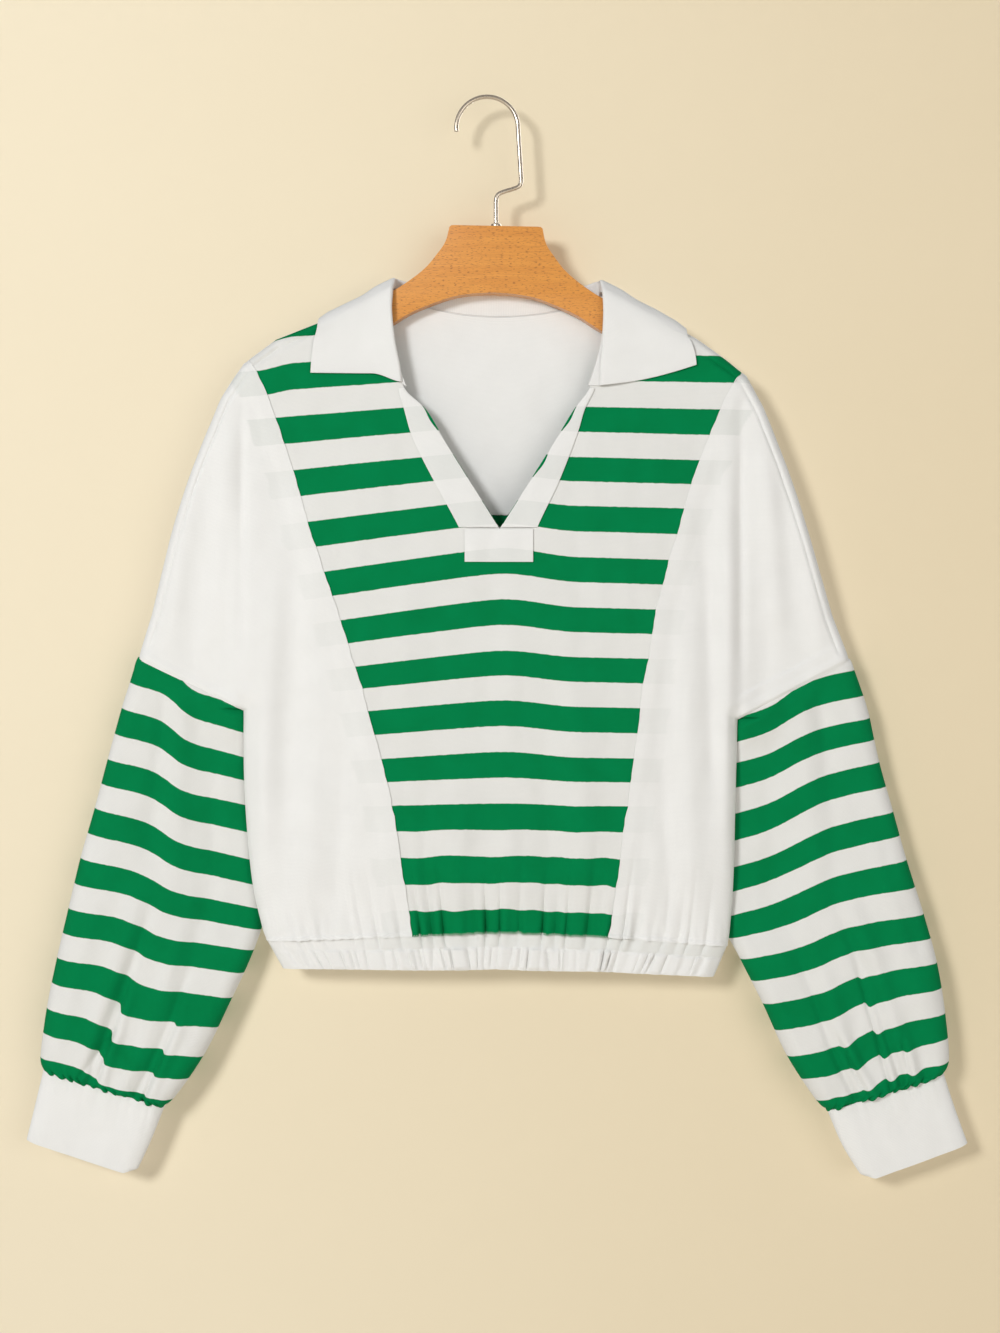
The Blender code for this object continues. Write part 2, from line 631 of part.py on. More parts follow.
def collar_seam(rows, shoulder, place, facing):
    """The collar's seam, just inside the neck edge of the front or of the back."""
    toward_middle = 1 if rows is LEFT_ROWS else -1
    if place >= 0:
        x, z = body_point(rows, "centre", 1, place)
        return Vector((x + toward_middle * COLLAR_SEAM_IN, -half_depth(x, z) if place else 0.0, z))
    x = mix(shoulder[0][0], 0, -place)
    z = back_neck_z(shoulder, x)
    upward = ease(0, 0.3, -place) * math.pi / 2
    return Vector((x + toward_middle * COLLAR_SEAM_IN * math.cos(upward), half_depth(x, z),
                   z + COLLAR_SEAM_IN * math.sin(upward)))


def fall_point(shoulder, fall_top, out_x, out_z, turn, share, out):
    """A point of the collar's fall, lying on the cloth, or on the round over the shoulder."""
    x = mix(fall_top.x, out_x, share)
    settle = ease(0, 0.45, share)
    full = fullness(x, out_z) + out
    if turn in (0, 180):
        z = mix(fall_top.z, out_z, share)
        resting = half_depth(x, z, out) * (-1 if turn == 0 else 1)
        return Vector((x, mix(fall_top.y, resting, settle), z))
    lean = math.radians(turn - 90)

    def rolled(at_x):
        return along(shoulder, at_x) + out - (SHOULDER_ROUND + out) * (1 - math.cos(lean))

    z = rolled(x) + (fall_top.z - rolled(fall_top.x)) * (1 - settle)
    return Vector((x, mix(fall_top.y, full * math.sin(lean), settle), z))


def collar():
    """Stand, rolled fold and fall, swept round the neck through the collar's stations."""
    stations = [(LEFT_ROWS, LEFT_SHOULDER) + row for row in LEFT_COLLAR]
    stations += [(RIGHT_ROWS, RIGHT_SHOULDER) + row for row in reversed(RIGHT_COLLAR)]
    out = WALL / 2 + COLLAR_WALL / 2 + COLLAR_LIFT
    columns = [0, 1, 2, 3, 4] + [4 + share for share in COLLAR_FALL]

    def place(column, line):
        rows, shoulder, neck, fold_x, fold_y, fold_z, out_x, out_z, turn = stations[line]
        side = -1 if rows is LEFT_ROWS else 1
        facing = math.cos(math.radians(turn))
        outward = Vector((side * math.sin(math.radians(turn)), -facing, 0))
        fold = Vector((fold_x, fold_y, fold_z))
        inward = Vector((fold_x - out_x, 0, fold_z - out_z)).normalized()
        fall_top = fold - inward * COLLAR_ROLL
        stand_top = fall_top - outward * 2 * COLLAR_ROLL
        seam = collar_seam(rows, shoulder, neck, facing)
        rise = stand_top - seam
        clear = outward * rise.dot(outward)
        stand_foot = seam + clear + (rise - clear) * 0.05
        rolled = (seam, stand_foot, stand_top, fold - outward * COLLAR_ROLL, fall_top)
        if column <= 4:
            return rolled[column]
        return fall_point(shoulder, fall_top, out_x, out_z, turn, column - 4, out)

    lines = counted(0, len(stations) - 1)
    cloth("collar", white, COLLAR_WALL, [dict(surface=place, columns=columns, lines=lines)])


def neck_strip(side, rows, table):
    """A strip along the V, made from the front panel's own points moved out."""
    out = WALL + LAYER_GAP
    turn = -1 if side == "left" else 1

    def place(column, line):
        row, width = through(table, line)
        x, z = body_point(rows, "centre", 1, row)
        x += turn * (0.4 + width * column)
        return Vector((x, -half_depth(x, z) - folds(BODY_FOLDS, x, z) - out, z))

    cloth("neck_strip_" + side, white, WALL,
          [dict(surface=place, columns=[0, 0.5, 1], lines=counted(0, len(table) - 1))])


def neck_tab():
    out = WALL + LAYER_GAP

    def place(column, line):
        x = mix(TAB_LEFT, TAB_RIGHT, column)
        z = mix(TAB_TOP, TAB_BOTTOM, line)
        return Vector((x, -half_depth(x, z) - folds(BODY_FOLDS, x, z) - out, z))

    cloth("neck_tab", white, WALL, [dict(surface=place, columns=[0, 0.33, 0.67, 1], lines=[0, 0.5, 1])])


# ---------------------------------------------------------------- hanger


def mesh_of_curve(curve, look):
    """The curve's object as a mesh with its caps welded, under the same name and place."""
    graph = bpy.context.evaluated_depsgraph_get()
    data = bpy.data.meshes.new_from_object(curve.evaluated_get(graph))
    mesh = bmesh.new()
    mesh.from_mesh(data)
    bmesh.ops.remove_doubles(mesh, verts=mesh.verts[:], dist=1e-5)
    mesh.to_mesh(data)
    mesh.free()
    made = bpy.data.objects.new("made", data)
    made.matrix_world = curve.matrix_world.copy()
    name = curve.name
    bpy.data.objects.remove(curve)
    made.name = name
    made.data.materials.clear()
    made.data.materials.append(look)
    parts.objects.link(made)
    return made


def smooth_run(points, steps):
    """Points of a smooth curve through the given ones, with so many steps between two."""
    count = (len(points) - 1) * steps
    return [tuple(through(points, index / steps)) for index in range(count + 1)]


def hanger():
    """One board, cut to a symmetric outline and rounded along its edges."""
    half = smooth_run(WOOD_TOP, 2) + list(WOOD_TIP) + smooth_run(WOOD_UNDERSIDE, 1)
    outline = half + [WOOD_MIDDLE_UNDER] + [(-x, z) for x, z in reversed(half)]
    curve = bpy.data.curves.new("hanger", "CURVE")
    curve.dimensions = "2D"
    curve.fill_mode = "BOTH"
    curve.extrude = WOOD_THICKNESS / 2 * MM
    spline = curve.splines.new("POLY")
    spline.points.add(len(outline) - 1)
    for point, (x, z) in zip(spline.points, outline):
        point.co = (x * MM, z * MM, 0, 1)
    spline.use_cyclic_u = True
    board = bpy.data.objects.new("hanger", curve)
    board.rotation_euler = (math.pi / 2, 0, 0)
    parts.objects.link(board)
    bpy.context.view_layer.update()
    board = mesh_of_curve(board, beech)
    board.parent = hung_wood
    edges = board.modifiers.new("rounded edges", "BEVEL")
    edges.width = WOOD_EDGE_ROUND * MM
    edges.segments = 2
    edges.limit_method = "ANGLE"
    edges.angle_limit = math.radians(60)


def ferrule():
    """A short turned collar where the wire enters the wood."""
    bpy.ops.mesh.primitive_cylinder_add(vertices=16, radius=FERRULE_RADIUS * MM,
                                        depth=FERRULE_HEIGHT * MM)
    piece = bpy.context.object
    piece.name = "ferrule"
    middle = ferrule_base() + FERRULE_HEIGHT / 2
    piece.location = (STEM_X * MM, 0, middle * MM)
    edges = piece.modifiers.new("edges", "BEVEL")
    edges.width = 0.5 * MM
    edges.segments = 1
    piece.data.materials.append(nickel)
    for holder in piece.users_collection:
        holder.objects.unlink(piece)
    parts.objects.link(piece)


def ferrule_base():
    """Just above the board's highest point under the ferrule, whose top the tilt slants."""
    wood_top = WOOD_TOP[0][1] + math.tan(WOOD_TILT) * (GARMENT_X - STEM_X + FERRULE_RADIUS)
    return wood_top + SEAM_GAP


def hook():
    """One wire: up from the ferrule, over to the shank, up, and round the crown to its tip."""
    centre = Vector((0, 0, WIRE / 2 - HOOK_RADIUS))
    foot = ferrule_base() + FERRULE_HEIGHT + SEAM_GAP
    route = [(STEM_X, foot), (STEM_X, STEM_JOG_Z - 4), (STEM_X + 1.2, STEM_JOG_Z), (STEM_X + 4, STEM_JOG_Z + 2),
             (SHANK_X - 4, STEM_JOG_Z + 4.6), (SHANK_X - 1, STEM_JOG_Z + 6.4), (SHANK_X, STEM_JOG_Z + 10)]
    start = math.radians(82)
    steps = 16
    for index in range(steps + 1):
        angle = mix(start, -HOOK_TIP_TURN, index / steps)
        route.append((HOOK_RADIUS * math.sin(angle), centre.z + HOOK_RADIUS * math.cos(angle)))
    curve = bpy.data.curves.new("hook", "CURVE")
    curve.dimensions = "3D"
    curve.bevel_depth = WIRE / 2 * MM
    curve.bevel_resolution = 2
    curve.use_fill_caps = True
    spline = curve.splines.new("POLY")
    spline.points.add(len(route) - 1)
    for point, (x, z) in zip(spline.points, route):
        point.co = (x * MM, 0, z * MM, 1)
    wire = bpy.data.objects.new("hook", curve)
    wire.data.materials.append(nickel)
    parts.objects.link(wire)


# ---------------------------------------------------------------- build

for old in list(bpy.data.objects):
    bpy.data.objects.remove(old)

parts = bpy.data.collections.new("crop top on hanger")
bpy.context.scene.collection.children.link(parts)

garment = bpy.data.objects.new("garment place", None)
garment.location = (GARMENT_X * MM, 0, 0)
parts.objects.link(garment)
hung_wood = bpy.data.objects.new("hanger place", None)
hung_wood.location = (GARMENT_X * MM, 0, 0)
hung_wood.rotation_euler = (0, WOOD_TILT, 0)
parts.objects.link(hung_wood)

white = material("white knit", WHITE, 0.85)
green = material("striped knit", GREEN, 0.85)
beech = material("lacquered beech", BEECH, 0.35)
nickel = material("nickel plate", NICKEL, 0.25, metallic=1.0)

body_panels()
waistband()
sleeve("left", LEFT_SLEEVE)
sleeve("right", RIGHT_SLEEVE)
cuff("left", LEFT_CUFF)
cuff("right", RIGHT_CUFF)
collar()
neck_strip("left", LEFT_ROWS, LEFT_STRIP)
neck_strip("right", RIGHT_ROWS, RIGHT_STRIP)
neck_tab()
hanger()
ferrule()
hook()
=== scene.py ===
"""The looks of the crop top on its wooden hanger.

Metres, +Z up, the front towards -Y, the origin inside the hook's crown. Tables and sizes are in
millimetres, measured from the garment's own centre line, which hangs 9 mm to the right of the hook.
"""

from functools import partial
from math import cos, exp, floor, hypot, pi, radians, sin, sqrt

import bpy
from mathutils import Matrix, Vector, noise


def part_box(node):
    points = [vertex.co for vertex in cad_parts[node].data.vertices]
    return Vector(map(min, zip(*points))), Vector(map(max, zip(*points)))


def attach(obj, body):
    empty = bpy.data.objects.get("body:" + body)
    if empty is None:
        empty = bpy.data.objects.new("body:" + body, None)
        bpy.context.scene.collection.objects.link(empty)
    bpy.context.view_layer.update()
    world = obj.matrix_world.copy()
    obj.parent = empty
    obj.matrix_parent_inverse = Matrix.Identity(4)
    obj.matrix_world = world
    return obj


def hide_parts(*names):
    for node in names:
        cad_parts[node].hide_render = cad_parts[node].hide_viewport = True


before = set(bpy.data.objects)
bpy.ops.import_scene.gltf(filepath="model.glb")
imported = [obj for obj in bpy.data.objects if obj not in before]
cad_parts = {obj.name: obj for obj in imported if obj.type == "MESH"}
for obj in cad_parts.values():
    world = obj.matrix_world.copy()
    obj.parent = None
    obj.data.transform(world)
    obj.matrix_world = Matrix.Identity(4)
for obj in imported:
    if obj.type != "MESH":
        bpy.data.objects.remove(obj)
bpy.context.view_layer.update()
bpy.ops.object.select_all(action="DESELECT")

# -------- studio
# The photograph looks straight at the front from a metre and a half away. The garment hangs close
# against a warm cream wall, under a soft light from the upper left and a broad, weak one opposite.

bpy.ops.object.camera_add(location=(0.0102, -1.4718, -0.4512), rotation=(pi / 2, 0, 0))
camera = bpy.context.object
camera.data.lens = 50
camera.data.sensor_width = 36
bpy.context.scene.camera = camera
bpy.context.scene.view_settings.view_transform = "Standard"

AIM = Vector((0, 0, -0.45))


def soft_light(name, place, size, power, colour):
    bpy.ops.object.light_add(type="AREA", location=place)
    lamp = bpy.context.object
    lamp.name = name
    lamp.data.shape = "DISK"
    lamp.data.size = size
    lamp.data.energy = power
    lamp.data.color = colour
    lamp.rotation_euler = (AIM - Vector(place)).to_track_quat("-Z", "Y").to_euler()


soft_light("key", (-1.65, -2.9, 0.5), 0.8, 66, (0.975, 0.99, 1.0))
soft_light("fill", (1.7, -2.7, -0.6), 2.4, 26, (1.0, 0.99, 0.98))
soft_light("behind", (0.9, 2.6, 0.9), 2.0, 60, (1.0, 0.985, 0.97))

studio = bpy.data.worlds.new("studio")
bpy.context.scene.world = studio
studio.use_nodes = True
sky = studio.node_tree.nodes["Background"].inputs
sky["Color"].default_value = (1.0, 0.98, 0.955, 1)
sky["Strength"].default_value = 0.34


def new_material(name, colour, roughness, **others):
    """A material with its Principled shader, ready for nodes on the sockets that vary."""
    made = bpy.data.materials.new(name)
    made.use_nodes = True
    shader = made.node_tree.nodes["Principled BSDF"]
    shader.inputs["Base Color"].default_value = colour
    shader.inputs["Roughness"].default_value = roughness
    for socket, value in others.items():
        shader.inputs[socket.replace("_", " ")].default_value = value
    return made, made.node_tree, shader


def add_node(tree, kind, settings=(), **values):
    """A node with settings such as its operation, and values for its sockets by name or number."""
    node = tree.nodes.new("ShaderNode" + kind)
    for setting, value in dict(settings).items():
        setattr(node, setting, value)
    for socket, value in values.items():
        key = int(socket[1:]) if socket[0] == "_" else socket.replace("_", " ")
        if isinstance(value, bpy.types.NodeSocket):
            tree.links.new(value, node.inputs[key])
        else:
            node.inputs[key].default_value = value
    return node


def sum_of(tree, operation, first, second=0.0, third=0.0, clamp=False):
    """One step of arithmetic, as the output of a Math node."""
    node = add_node(tree, "Math", {"operation": operation, "use_clamp": clamp},
                    _0=first, _1=second, _2=third)
    return node.outputs[0]


def blend(tree, share, first, second, kind="MIX"):
    node = add_node(tree, "Mix", {"data_type": "RGBA", "blend_type": kind},
                    _0=share, _6=first, _7=second)
    return node.outputs[2]


def noise_of(tree, place, scale, detail, **more):
    node = add_node(tree, "TexNoise", Vector=place, Scale=scale, Detail=detail, **more)
    return node.outputs[0]


def ramp(tree, value, low, high, start=0.0, end=1.0, kind="SMOOTHSTEP"):
    """start where the value is below low, end where it is above high."""
    node = add_node(tree, "MapRange", {"interpolation_type": kind},
                    _0=value, _1=low, _2=high, _3=start, _4=end)
    return node.outputs[0]


def feed(node, socket, value):
    node.id_data.links.new(value, node.inputs[socket])


def own_place(tree):
    return add_node(tree, "TexCoord").outputs["Object"]


WALL_Y, FLOOR_Z = 0.0285, -1.12
bpy.ops.mesh.primitive_plane_add(size=1, location=(0, WALL_Y, FLOOR_Z + 2),
                                 rotation=(pi / 2, 0, 0))
wall = bpy.context.object
wall.name = "wall"
wall.scale = (9, 4, 1)
bpy.ops.mesh.primitive_plane_add(size=9, location=(0, WALL_Y - 1.5, FLOOR_Z))
ground = bpy.context.object
ground.name = "floor"
for ray in ("diffuse", "glossy", "transmission", "shadow"):
    setattr(wall, "visible_" + ray, False)

cream, tree, shader = new_material("cream wall", (0.82, 0.70, 0.50, 1), 0.9)
spots = noise_of(tree, own_place(tree), 2.2, 5.0, Roughness=0.6)
wall_place = add_node(tree, "NewGeometry").outputs["Position"]
rightward = add_node(tree, "SeparateXYZ", Vector=wall_place).outputs[0]
# Painted shade: the wall's colour grows darker towards the right, standing in for the light falling off away
# from the lamp on the left; the spots are a faint real mottling.
lit_left_tone = blend(tree, spots, (0.76, 0.665, 0.49, 1), (0.85, 0.765, 0.59, 1))
shaded_right_tone = blend(tree, spots, (0.69, 0.58, 0.385, 1), (0.765, 0.655, 0.47, 1))
feed(shader, "Base Color", blend(tree, ramp(tree, rightward, -0.5, 0.6), lit_left_tone, shaded_right_tone))
wall.data.materials.append(cream)

pale, _, _ = new_material("pale floor", (0.80, 0.74, 0.64, 1), 0.8)
ground.data.materials.append(pale)
for stage_look in (cream, pale):  # seen from their front only, so neither hides the garment
    tree = stage_look.node_tree
    behind = add_node(tree, "NewGeometry").outputs["Backfacing"]
    one_sided = add_node(tree, "MixShader", _0=behind,
                         _1=tree.nodes["Principled BSDF"].outputs[0],
                         _2=add_node(tree, "BsdfTransparent").outputs[0])
    feed(tree.nodes["Material Output"], "Surface", one_sided.outputs[0])

# -------- hook and ferrule
# One length of 3.4 mm steel wire, bent cold and nickel plated: round crown, nearly straight shank,
# a jog back to the middle, and a stem that is pressed into the board through a small turned ferrule.

MM = 0.001
GARMENT_X = 9.0
WIRE = 3.4
HOOK_RADIUS, FERRULE_RADIUS = 24.5, 4.0
STEM_X, SHANK_X, JOG_Z, STEM_FOOT_Z = 7.0, 27.0, -76.0, -99.3


def mix(a, b, share):
    return a + (b - a) * share


def through(points, place):
    """A smooth curve through the points: place 0 is the first one, 1 the next."""
    last = len(points) - 1
    index = max(min(int(place), last - 1), 0)
    t = place - index
    before = points[max(index - 1, 0)]
    here, there = points[index], points[index + 1]
    after = points[min(index + 2, last)]
    values = []
    for p, q, r, s in zip(before, here, there, after):
        bend = (2 * p - 5 * q + 4 * r - s) * t * t + (3 * q - p - 3 * r + s) * t * t * t
        values.append(0.5 * (2 * q + (r - p) * t + bend))
    return values


def smooth_run(points, steps):
    return [tuple(through(points, index / steps)) for index in range((len(points) - 1) * steps + 1)]


def curve_piece(name, route, radius=0.0, resolution=0):
    """A round wire along points in millimetres or, without a radius, a flat outline, upright in x, z."""
    curve = bpy.data.curves.new(name, "CURVE")
    curve.dimensions = "3D" if radius else "2D"
    spline = curve.splines.new("POLY")
    spline.points.add(len(route) - 1)
    for point, (x, *y, z) in zip(spline.points, route):
        point.co = (x * MM, y[0] * MM if y else 0, z * MM, 1) if radius else (x * MM, z * MM, 0, 1)
    spline.use_cyclic_u = not radius
    curve.bevel_depth = radius * MM
    curve.bevel_resolution = resolution
    curve.use_fill_caps = bool(radius)
    piece = bpy.data.objects.new(name, curve)
    bpy.context.scene.collection.objects.link(piece)
    return piece


def pick(piece):
    bpy.ops.object.select_all(action="DESELECT")
    piece.select_set(True)
    bpy.context.view_layer.objects.active = piece


def as_mesh(piece):
    """Turns the object into a mesh with its place in its points, and joins what touches."""
    pick(piece)
    if piece.type != "MESH":
        bpy.ops.object.convert(target="MESH")
        piece = bpy.context.object
    bpy.ops.object.transform_apply(location=True, rotation=True, scale=True)
    bpy.ops.object.mode_set(mode="EDIT")
    bpy.ops.mesh.select_all(action="SELECT")
    bpy.ops.mesh.remove_doubles(threshold=1e-6)
    bpy.ops.mesh.normals_make_consistent(inside=False)
    bpy.ops.object.mode_set(mode="OBJECT")
    return piece


def apply_modifiers(piece):
    pick(piece)
    for modifier in list(piece.modifiers):
        bpy.ops.object.modifier_apply(modifier=modifier.name)


def round_edges(piece, radius, segments, degrees):
    """Rounds the edges that turn by more than so many degrees."""
    bevel = piece.modifiers.new("rounded edges", "BEVEL")
    bevel.width = radius * MM
    bevel.segments = segments
    bevel.limit_method = "ANGLE"
    bevel.angle_limit = radians(degrees)
    apply_modifiers(piece)


def smooth(piece, degrees=40):
    pick(piece)
    bpy.ops.object.shade_smooth_by_angle(angle=radians(degrees))


def dress(piece, look, slot, *nodes):
    """Gives the piece its material, hangs it on the root body and hides the CAD nodes that it stands for;
    the slot is not used.
    """
    piece.data.materials.append(look)
    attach(piece, "root")
    for node in nodes:
        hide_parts(node)


bends = [(STEM_X, STEM_FOOT_Z)]
bends += [(STEM_X + x, JOG_Z + z) for x, z in ((0, -12), (0, -5.5), (0.6, -2), (2.6, 0.6), (7, 2.4))]
bends += [(SHANK_X - x, JOG_Z + z) for x, z in ((6.5, 4.4), (2.4, 6), (0.4, 8.6), (0, 12))]
crown = []
for index in range(49):
    angle = radians(mix(82, -97, index / 48))
    crown.append((HOOK_RADIUS * sin(angle),
                  WIRE / 2 - HOOK_RADIUS + HOOK_RADIUS * cos(angle)))
hook = as_mesh(curve_piece("hook_wire", smooth_run(bends, 5) + crown, WIRE / 2, 6))
round_edges(hook, 0.6, 3, 70)
smooth(hook)

nickel, tree, shader = new_material("nickel plate", (0.68, 0.63, 0.56, 1), 0.24, Metallic=1.0)
drawn = noise_of(tree, own_place(tree), 900.0, 3.0, Roughness=0.7)
feed(shader, "Roughness", sum_of(tree, "MULTIPLY_ADD", drawn, 0.22, 0.14))
stain = noise_of(tree, own_place(tree), 60.0, 4.0)
feed(shader, "Base Color", blend(tree, stain, (0.56, 0.47, 0.36, 1), (0.72, 0.64, 0.54, 1)))
dress(hook, nickel, "nickel", "hook")

low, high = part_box("ferrule")
bpy.ops.mesh.primitive_cylinder_add(vertices=48, radius=FERRULE_RADIUS * MM, depth=high.z - low.z,
                                    location=((low.x + high.x) / 2, 0, (low.z + high.z) / 2))
ferrule = bpy.context.object
ferrule.name = "turned_ferrule"
round_edges(ferrule, 0.7, 4, 30)
ferrule = as_mesh(ferrule)
smooth(ferrule)
dress(ferrule, nickel, "nickel", "ferrule")

# -------- hanger
# One 11 mm beech board, bandsawn to a symmetric outline with its arms inside the shoulders, its
# edges rounded over, sanded and clear lacquered. It hangs a degree lower on the right.

WOOD_THICKNESS = 11.0
WOOD_EDGE_ROUND = 3.2
WOOD_TILT = radians(1.1)
WOOD_TOP = ((37, -102.6), (39.8, -115.3), (47.7, -127.2), (56, -137.1), (68.4, -147.2),
            (83.5, -156.8), (104, -166.2), (125, -177), (150, -191), (172, -206.4))
WOOD_TIP = ((172, -206.4), (184.5, -219), (187, -225.5), (183.5, -230.5), (176, -230.6))
WOOD_UNDERSIDE = ((176, -230.6), (150, -216), (124, -201.5), (103, -192), (82.7, -182.4),
                  (63.6, -170.9), (36, -159.8), (18, -156.2), (0, -155))
WOOD_CORNER = ((32.6, -102.2), (35.4, -102.4), (36.9, -103.6))

half = list(WOOD_CORNER) + smooth_run(WOOD_TOP, 5)[3:-1] + smooth_run(WOOD_TIP, 4)[:-1]
half += smooth_run(WOOD_UNDERSIDE, 5)[:-1]
outline = half + [WOOD_UNDERSIDE[-1]] + [(-x, z) for x, z in reversed(half)]
board = curve_piece("beech_board", outline)
board.data.fill_mode = "BOTH"
board.data.extrude = WOOD_THICKNESS / 2 * MM
board.rotation_euler = (pi / 2, 0, 0)
board = as_mesh(board)
board.rotation_euler = (0, WOOD_TILT, 0)
board.location = (GARMENT_X * MM, 0, 0)
board = as_mesh(board)
round_edges(board, WOOD_EDGE_ROUND, 5, 60)
smooth(board, 30)

beech, tree, shader = new_material("lacquered beech", (0.70, 0.31, 0.08, 1), 0.38,
                                   Coat_Weight=0.35, Coat_Roughness=0.22)


def grain(fineness, detail, **more):
    """Noise drawn out along the board."""
    place = add_node(tree, "Mapping", Scale=fineness, Vector=own_place(tree))
    return noise_of(tree, place.outputs[0], 1.0, detail, **more)


streaks = ramp(tree, grain((50, 400, 900), 4.0), 0.35, 0.7, 0.0, 0.4, "LINEAR")
flecks = ramp(tree, grain((300, 900, 1400), 1.0), 0.57, 0.68, 0.0, 0.7)
board_tone = blend(tree, grain((9, 60, 110), 3.0, Distortion=0.6),
                   (0.61, 0.225, 0.030, 1), (0.79, 0.355, 0.064, 1))
board_tone = blend(tree, streaks, board_tone, (0.50, 0.18, 0.035, 1))
board_tone = blend(tree, flecks, board_tone, (0.30, 0.095, 0.02, 1))
feed(shader, "Base Color", board_tone)
pores = add_node(tree, "Bump", Strength=0.25, Distance=0.0002,
                 Height=sum_of(tree, "SUBTRACT", 1.0, flecks))
feed(shader, "Normal", pores.outputs[0])
dress(board, beech, "beech", "hanger")

# -------- front centre panel
# The striped jersey front: one tapering piece of stocking stitch, its V cut from the neck down and
# its lower edge drawn up on the waist elastic. Laid here by the rows of the garment's own pattern.

LEFT_ROWS = (
    # outer x, z      seam x, z      inner x, z
    (-202.3, -210.7, -197.6, -208.3, -85.5, -151.8),
    (-220.6, -239.3, -182.5, -240.9, -86.3, -185.2),
    (-242.1, -291.8, -165.8, -290.2, -75.9, -228.2),
    (-251.6, -318.8, -157, -318.8, -56.8, -248.8),
    (-260.4, -347.4, -148.3, -349, -38.6, -279),
    (-276.3, -411, -127.6, -409.4, 1, -342.6),
    (-286.6, -443.6, -118.1, -439.6, 0, -382.4),
    (-244.5, -463.9, -109.5, -466, 0, -434),
    (-202.3, -484.2, -104.5, -485.7, 0, -471.4),
    (-201.5, -549.3, -87.1, -550.9, 0, -545.4),
    (-196, -616.9, -76.7, -614.5, 0, -611.4),
    (-188, -655.9, -71.2, -651.9, 0, -648.7),
    (-184, -667.4, -69.6, -662.6, 0, -659.6),
)
RIGHT_ROWS = (
    (196.8, -220.2, 192.8, -217.8, 85, -154.2),
    (210.3, -245.7, 179.3, -242.5, 85, -186.8),
    (228.6, -291.8, 160.2, -288.6, 73.5, -228.2),
    (238.1, -318.8, 151.4, -315.6, 59.2, -248.8),
    (247.6, -349, 141.9, -347.4, 40.9, -279),
    (265.9, -411, 125.2, -407.8, 1, -342.6),
    (279.4, -445.2, 119.6, -442, 0, -382.4),
    (234.5, -468.2, 115.2, -466, 0, -434),
    (189.6, -491.3, 112.5, -489.7, 0, -471.4),
    (188, -553.3, 103.7, -553.3, 0, -545.4),
    (186.4, -617.7, 95, -617.7, 0, -611.4),
    (183.6, -658.3, 90.6, -653.5, 0, -648.7),
    (181.7, -671.4, 88.6, -663.4, 0, -659.6),
)
V_TIP_ROW, ARMHOLE_ROW, UNDERARM_ROW, WAIST_ROW, YOKE_ROW = 5, 6, 8, 12, 4
BACK_CENTRE_Z = (-174, -209, -255, -291, -327.5, -366, -404, -440, -471.4, -545.4, -611.4, -648.7, -659.6)
LEFT_SHOULDER = ((-85.5, -151), (-141.9, -178.1), (-176.1, -191.6), (-197.6, -207.5), (-202.3, -212))
RIGHT_SHOULDER = ((85, -153.4), (124.4, -172.5), (157.8, -191.6), (180.1, -207.5), (192.8, -217.8),
                  (196.8, -221.8))
# Half the depth from front to back, the share of it that is left at the sides, and how far in the
# cloth rounds over
EDGE_HALF, SHOULDER_HALF, CHEST_HALF, HEM_HALF, SIDE_SHARE = 0.05, 8.8, 16.0, 12.0, 0.6
SHOULDER_ROUND, SIDE_ROUND = 8.5, 20.0
FOLD_LEFT_X, FOLD_RIGHT_X, SET_BACK_WIDTH, ARM_SET_BACK = -203.0, 190.5, 24.0, 6.0
# One layer of the jersey, a stitch's width and height, and one green with one white stripe
KNIT, WALE, COURSE, REPEAT = 0.9, 1.15, 0.95, 40.0
WAIST_PLEAT, WAIST_PLEAT_DEPTH, WAIST_PLEAT_RISE = 13.6, 3.4, 92
OVERARM_SEAM_IN, OVERARM_SEAM_DEPTH, OVERARM_SEAM_END_Z = 7.5, 1.9, -440
# How far the cut hem stands off where it laps over the band, and the pattern lines it starts at
HEM_LAP, HEM_LAP_LINES, HEM_LINES = 1, (11.6, 11.95), (11.75, 12)
CENTRE_BIAS = 0.9  # below 1, points of a centre panel lie closer together towards its middle

# Long soft folds: top x, z, bottom x, z, width, depth
BODY_FOLDS = (
    (-214, -250, -226, -437, 13, 3.4), (-240, -300, -262, -440, 12, 2.6),
    (-190, -300, -199, -480, 16, 3.2), (-203, -250, -202, -476, 6, -2.2),
    (-176, -350, -188, -600, 14, 3.2), (-158, -360, -166, -600, 13, -2.6),
    (-140, -430, -150, -650, 14, 2.6), (-122, -520, -128, -650, 10, -1.8),
    (208, -264, 222, -430, 14, 3.6), (238, -330, 258, -440, 12, 2.6), (192, -250, 191, -484, 6.5, -3),
    (180, -262, 181, -640, 10, 3.4), (163, -330, 170, -560, 10, -2.8), (146, -420, 152, -640, 14, 2.8),
    (128, -520, 136, -650, 9, -2), (62, -430, 70, -640, 20, 2.6), (34, -520, 46, -650, 12, -1.8),
    (8, -560, 12, -655, 14, 2), (-28, -560, -36, -655, 16, 2), (-58, -540, -60, -650, 10, -1.6),
)
# The stripes down the front: where each green one starts on the centre line, and how far it
# hangs lower 119 mm out to the left and to the right
STRIPES_X, STRIPES_OUT, STRIPES_BEND, STRIPES_REACH = 5, 119, 16, 104
STRIPES = (
    (-162.2, 5, 2), (-201.9, 6.5, 3.2), (-241.7, 8, 5.5), (-281, 10.3, 6.4),
    (-319.6, 13, 6.4), (-358.2, 15, 8.7), (-398.3, 15, 8), (-438.8, 12.7, 6.4),
    (-477.8, 9.5, 6.4), (-518.3, 7.2, 5.6), (-558.9, 2.4, 2.4), (-600.2, 1.6, 2.4),
    (-642.4, 3.2, 3.2), (-684.5, 3.2, 3.2),
)


def ease(start, end, value):
    """0 before start, 1 after end, and smooth between."""
    share = min(max((value - start) / (end - start), 0.0), 1.0)
    return share * share * (3 - 2 * share)


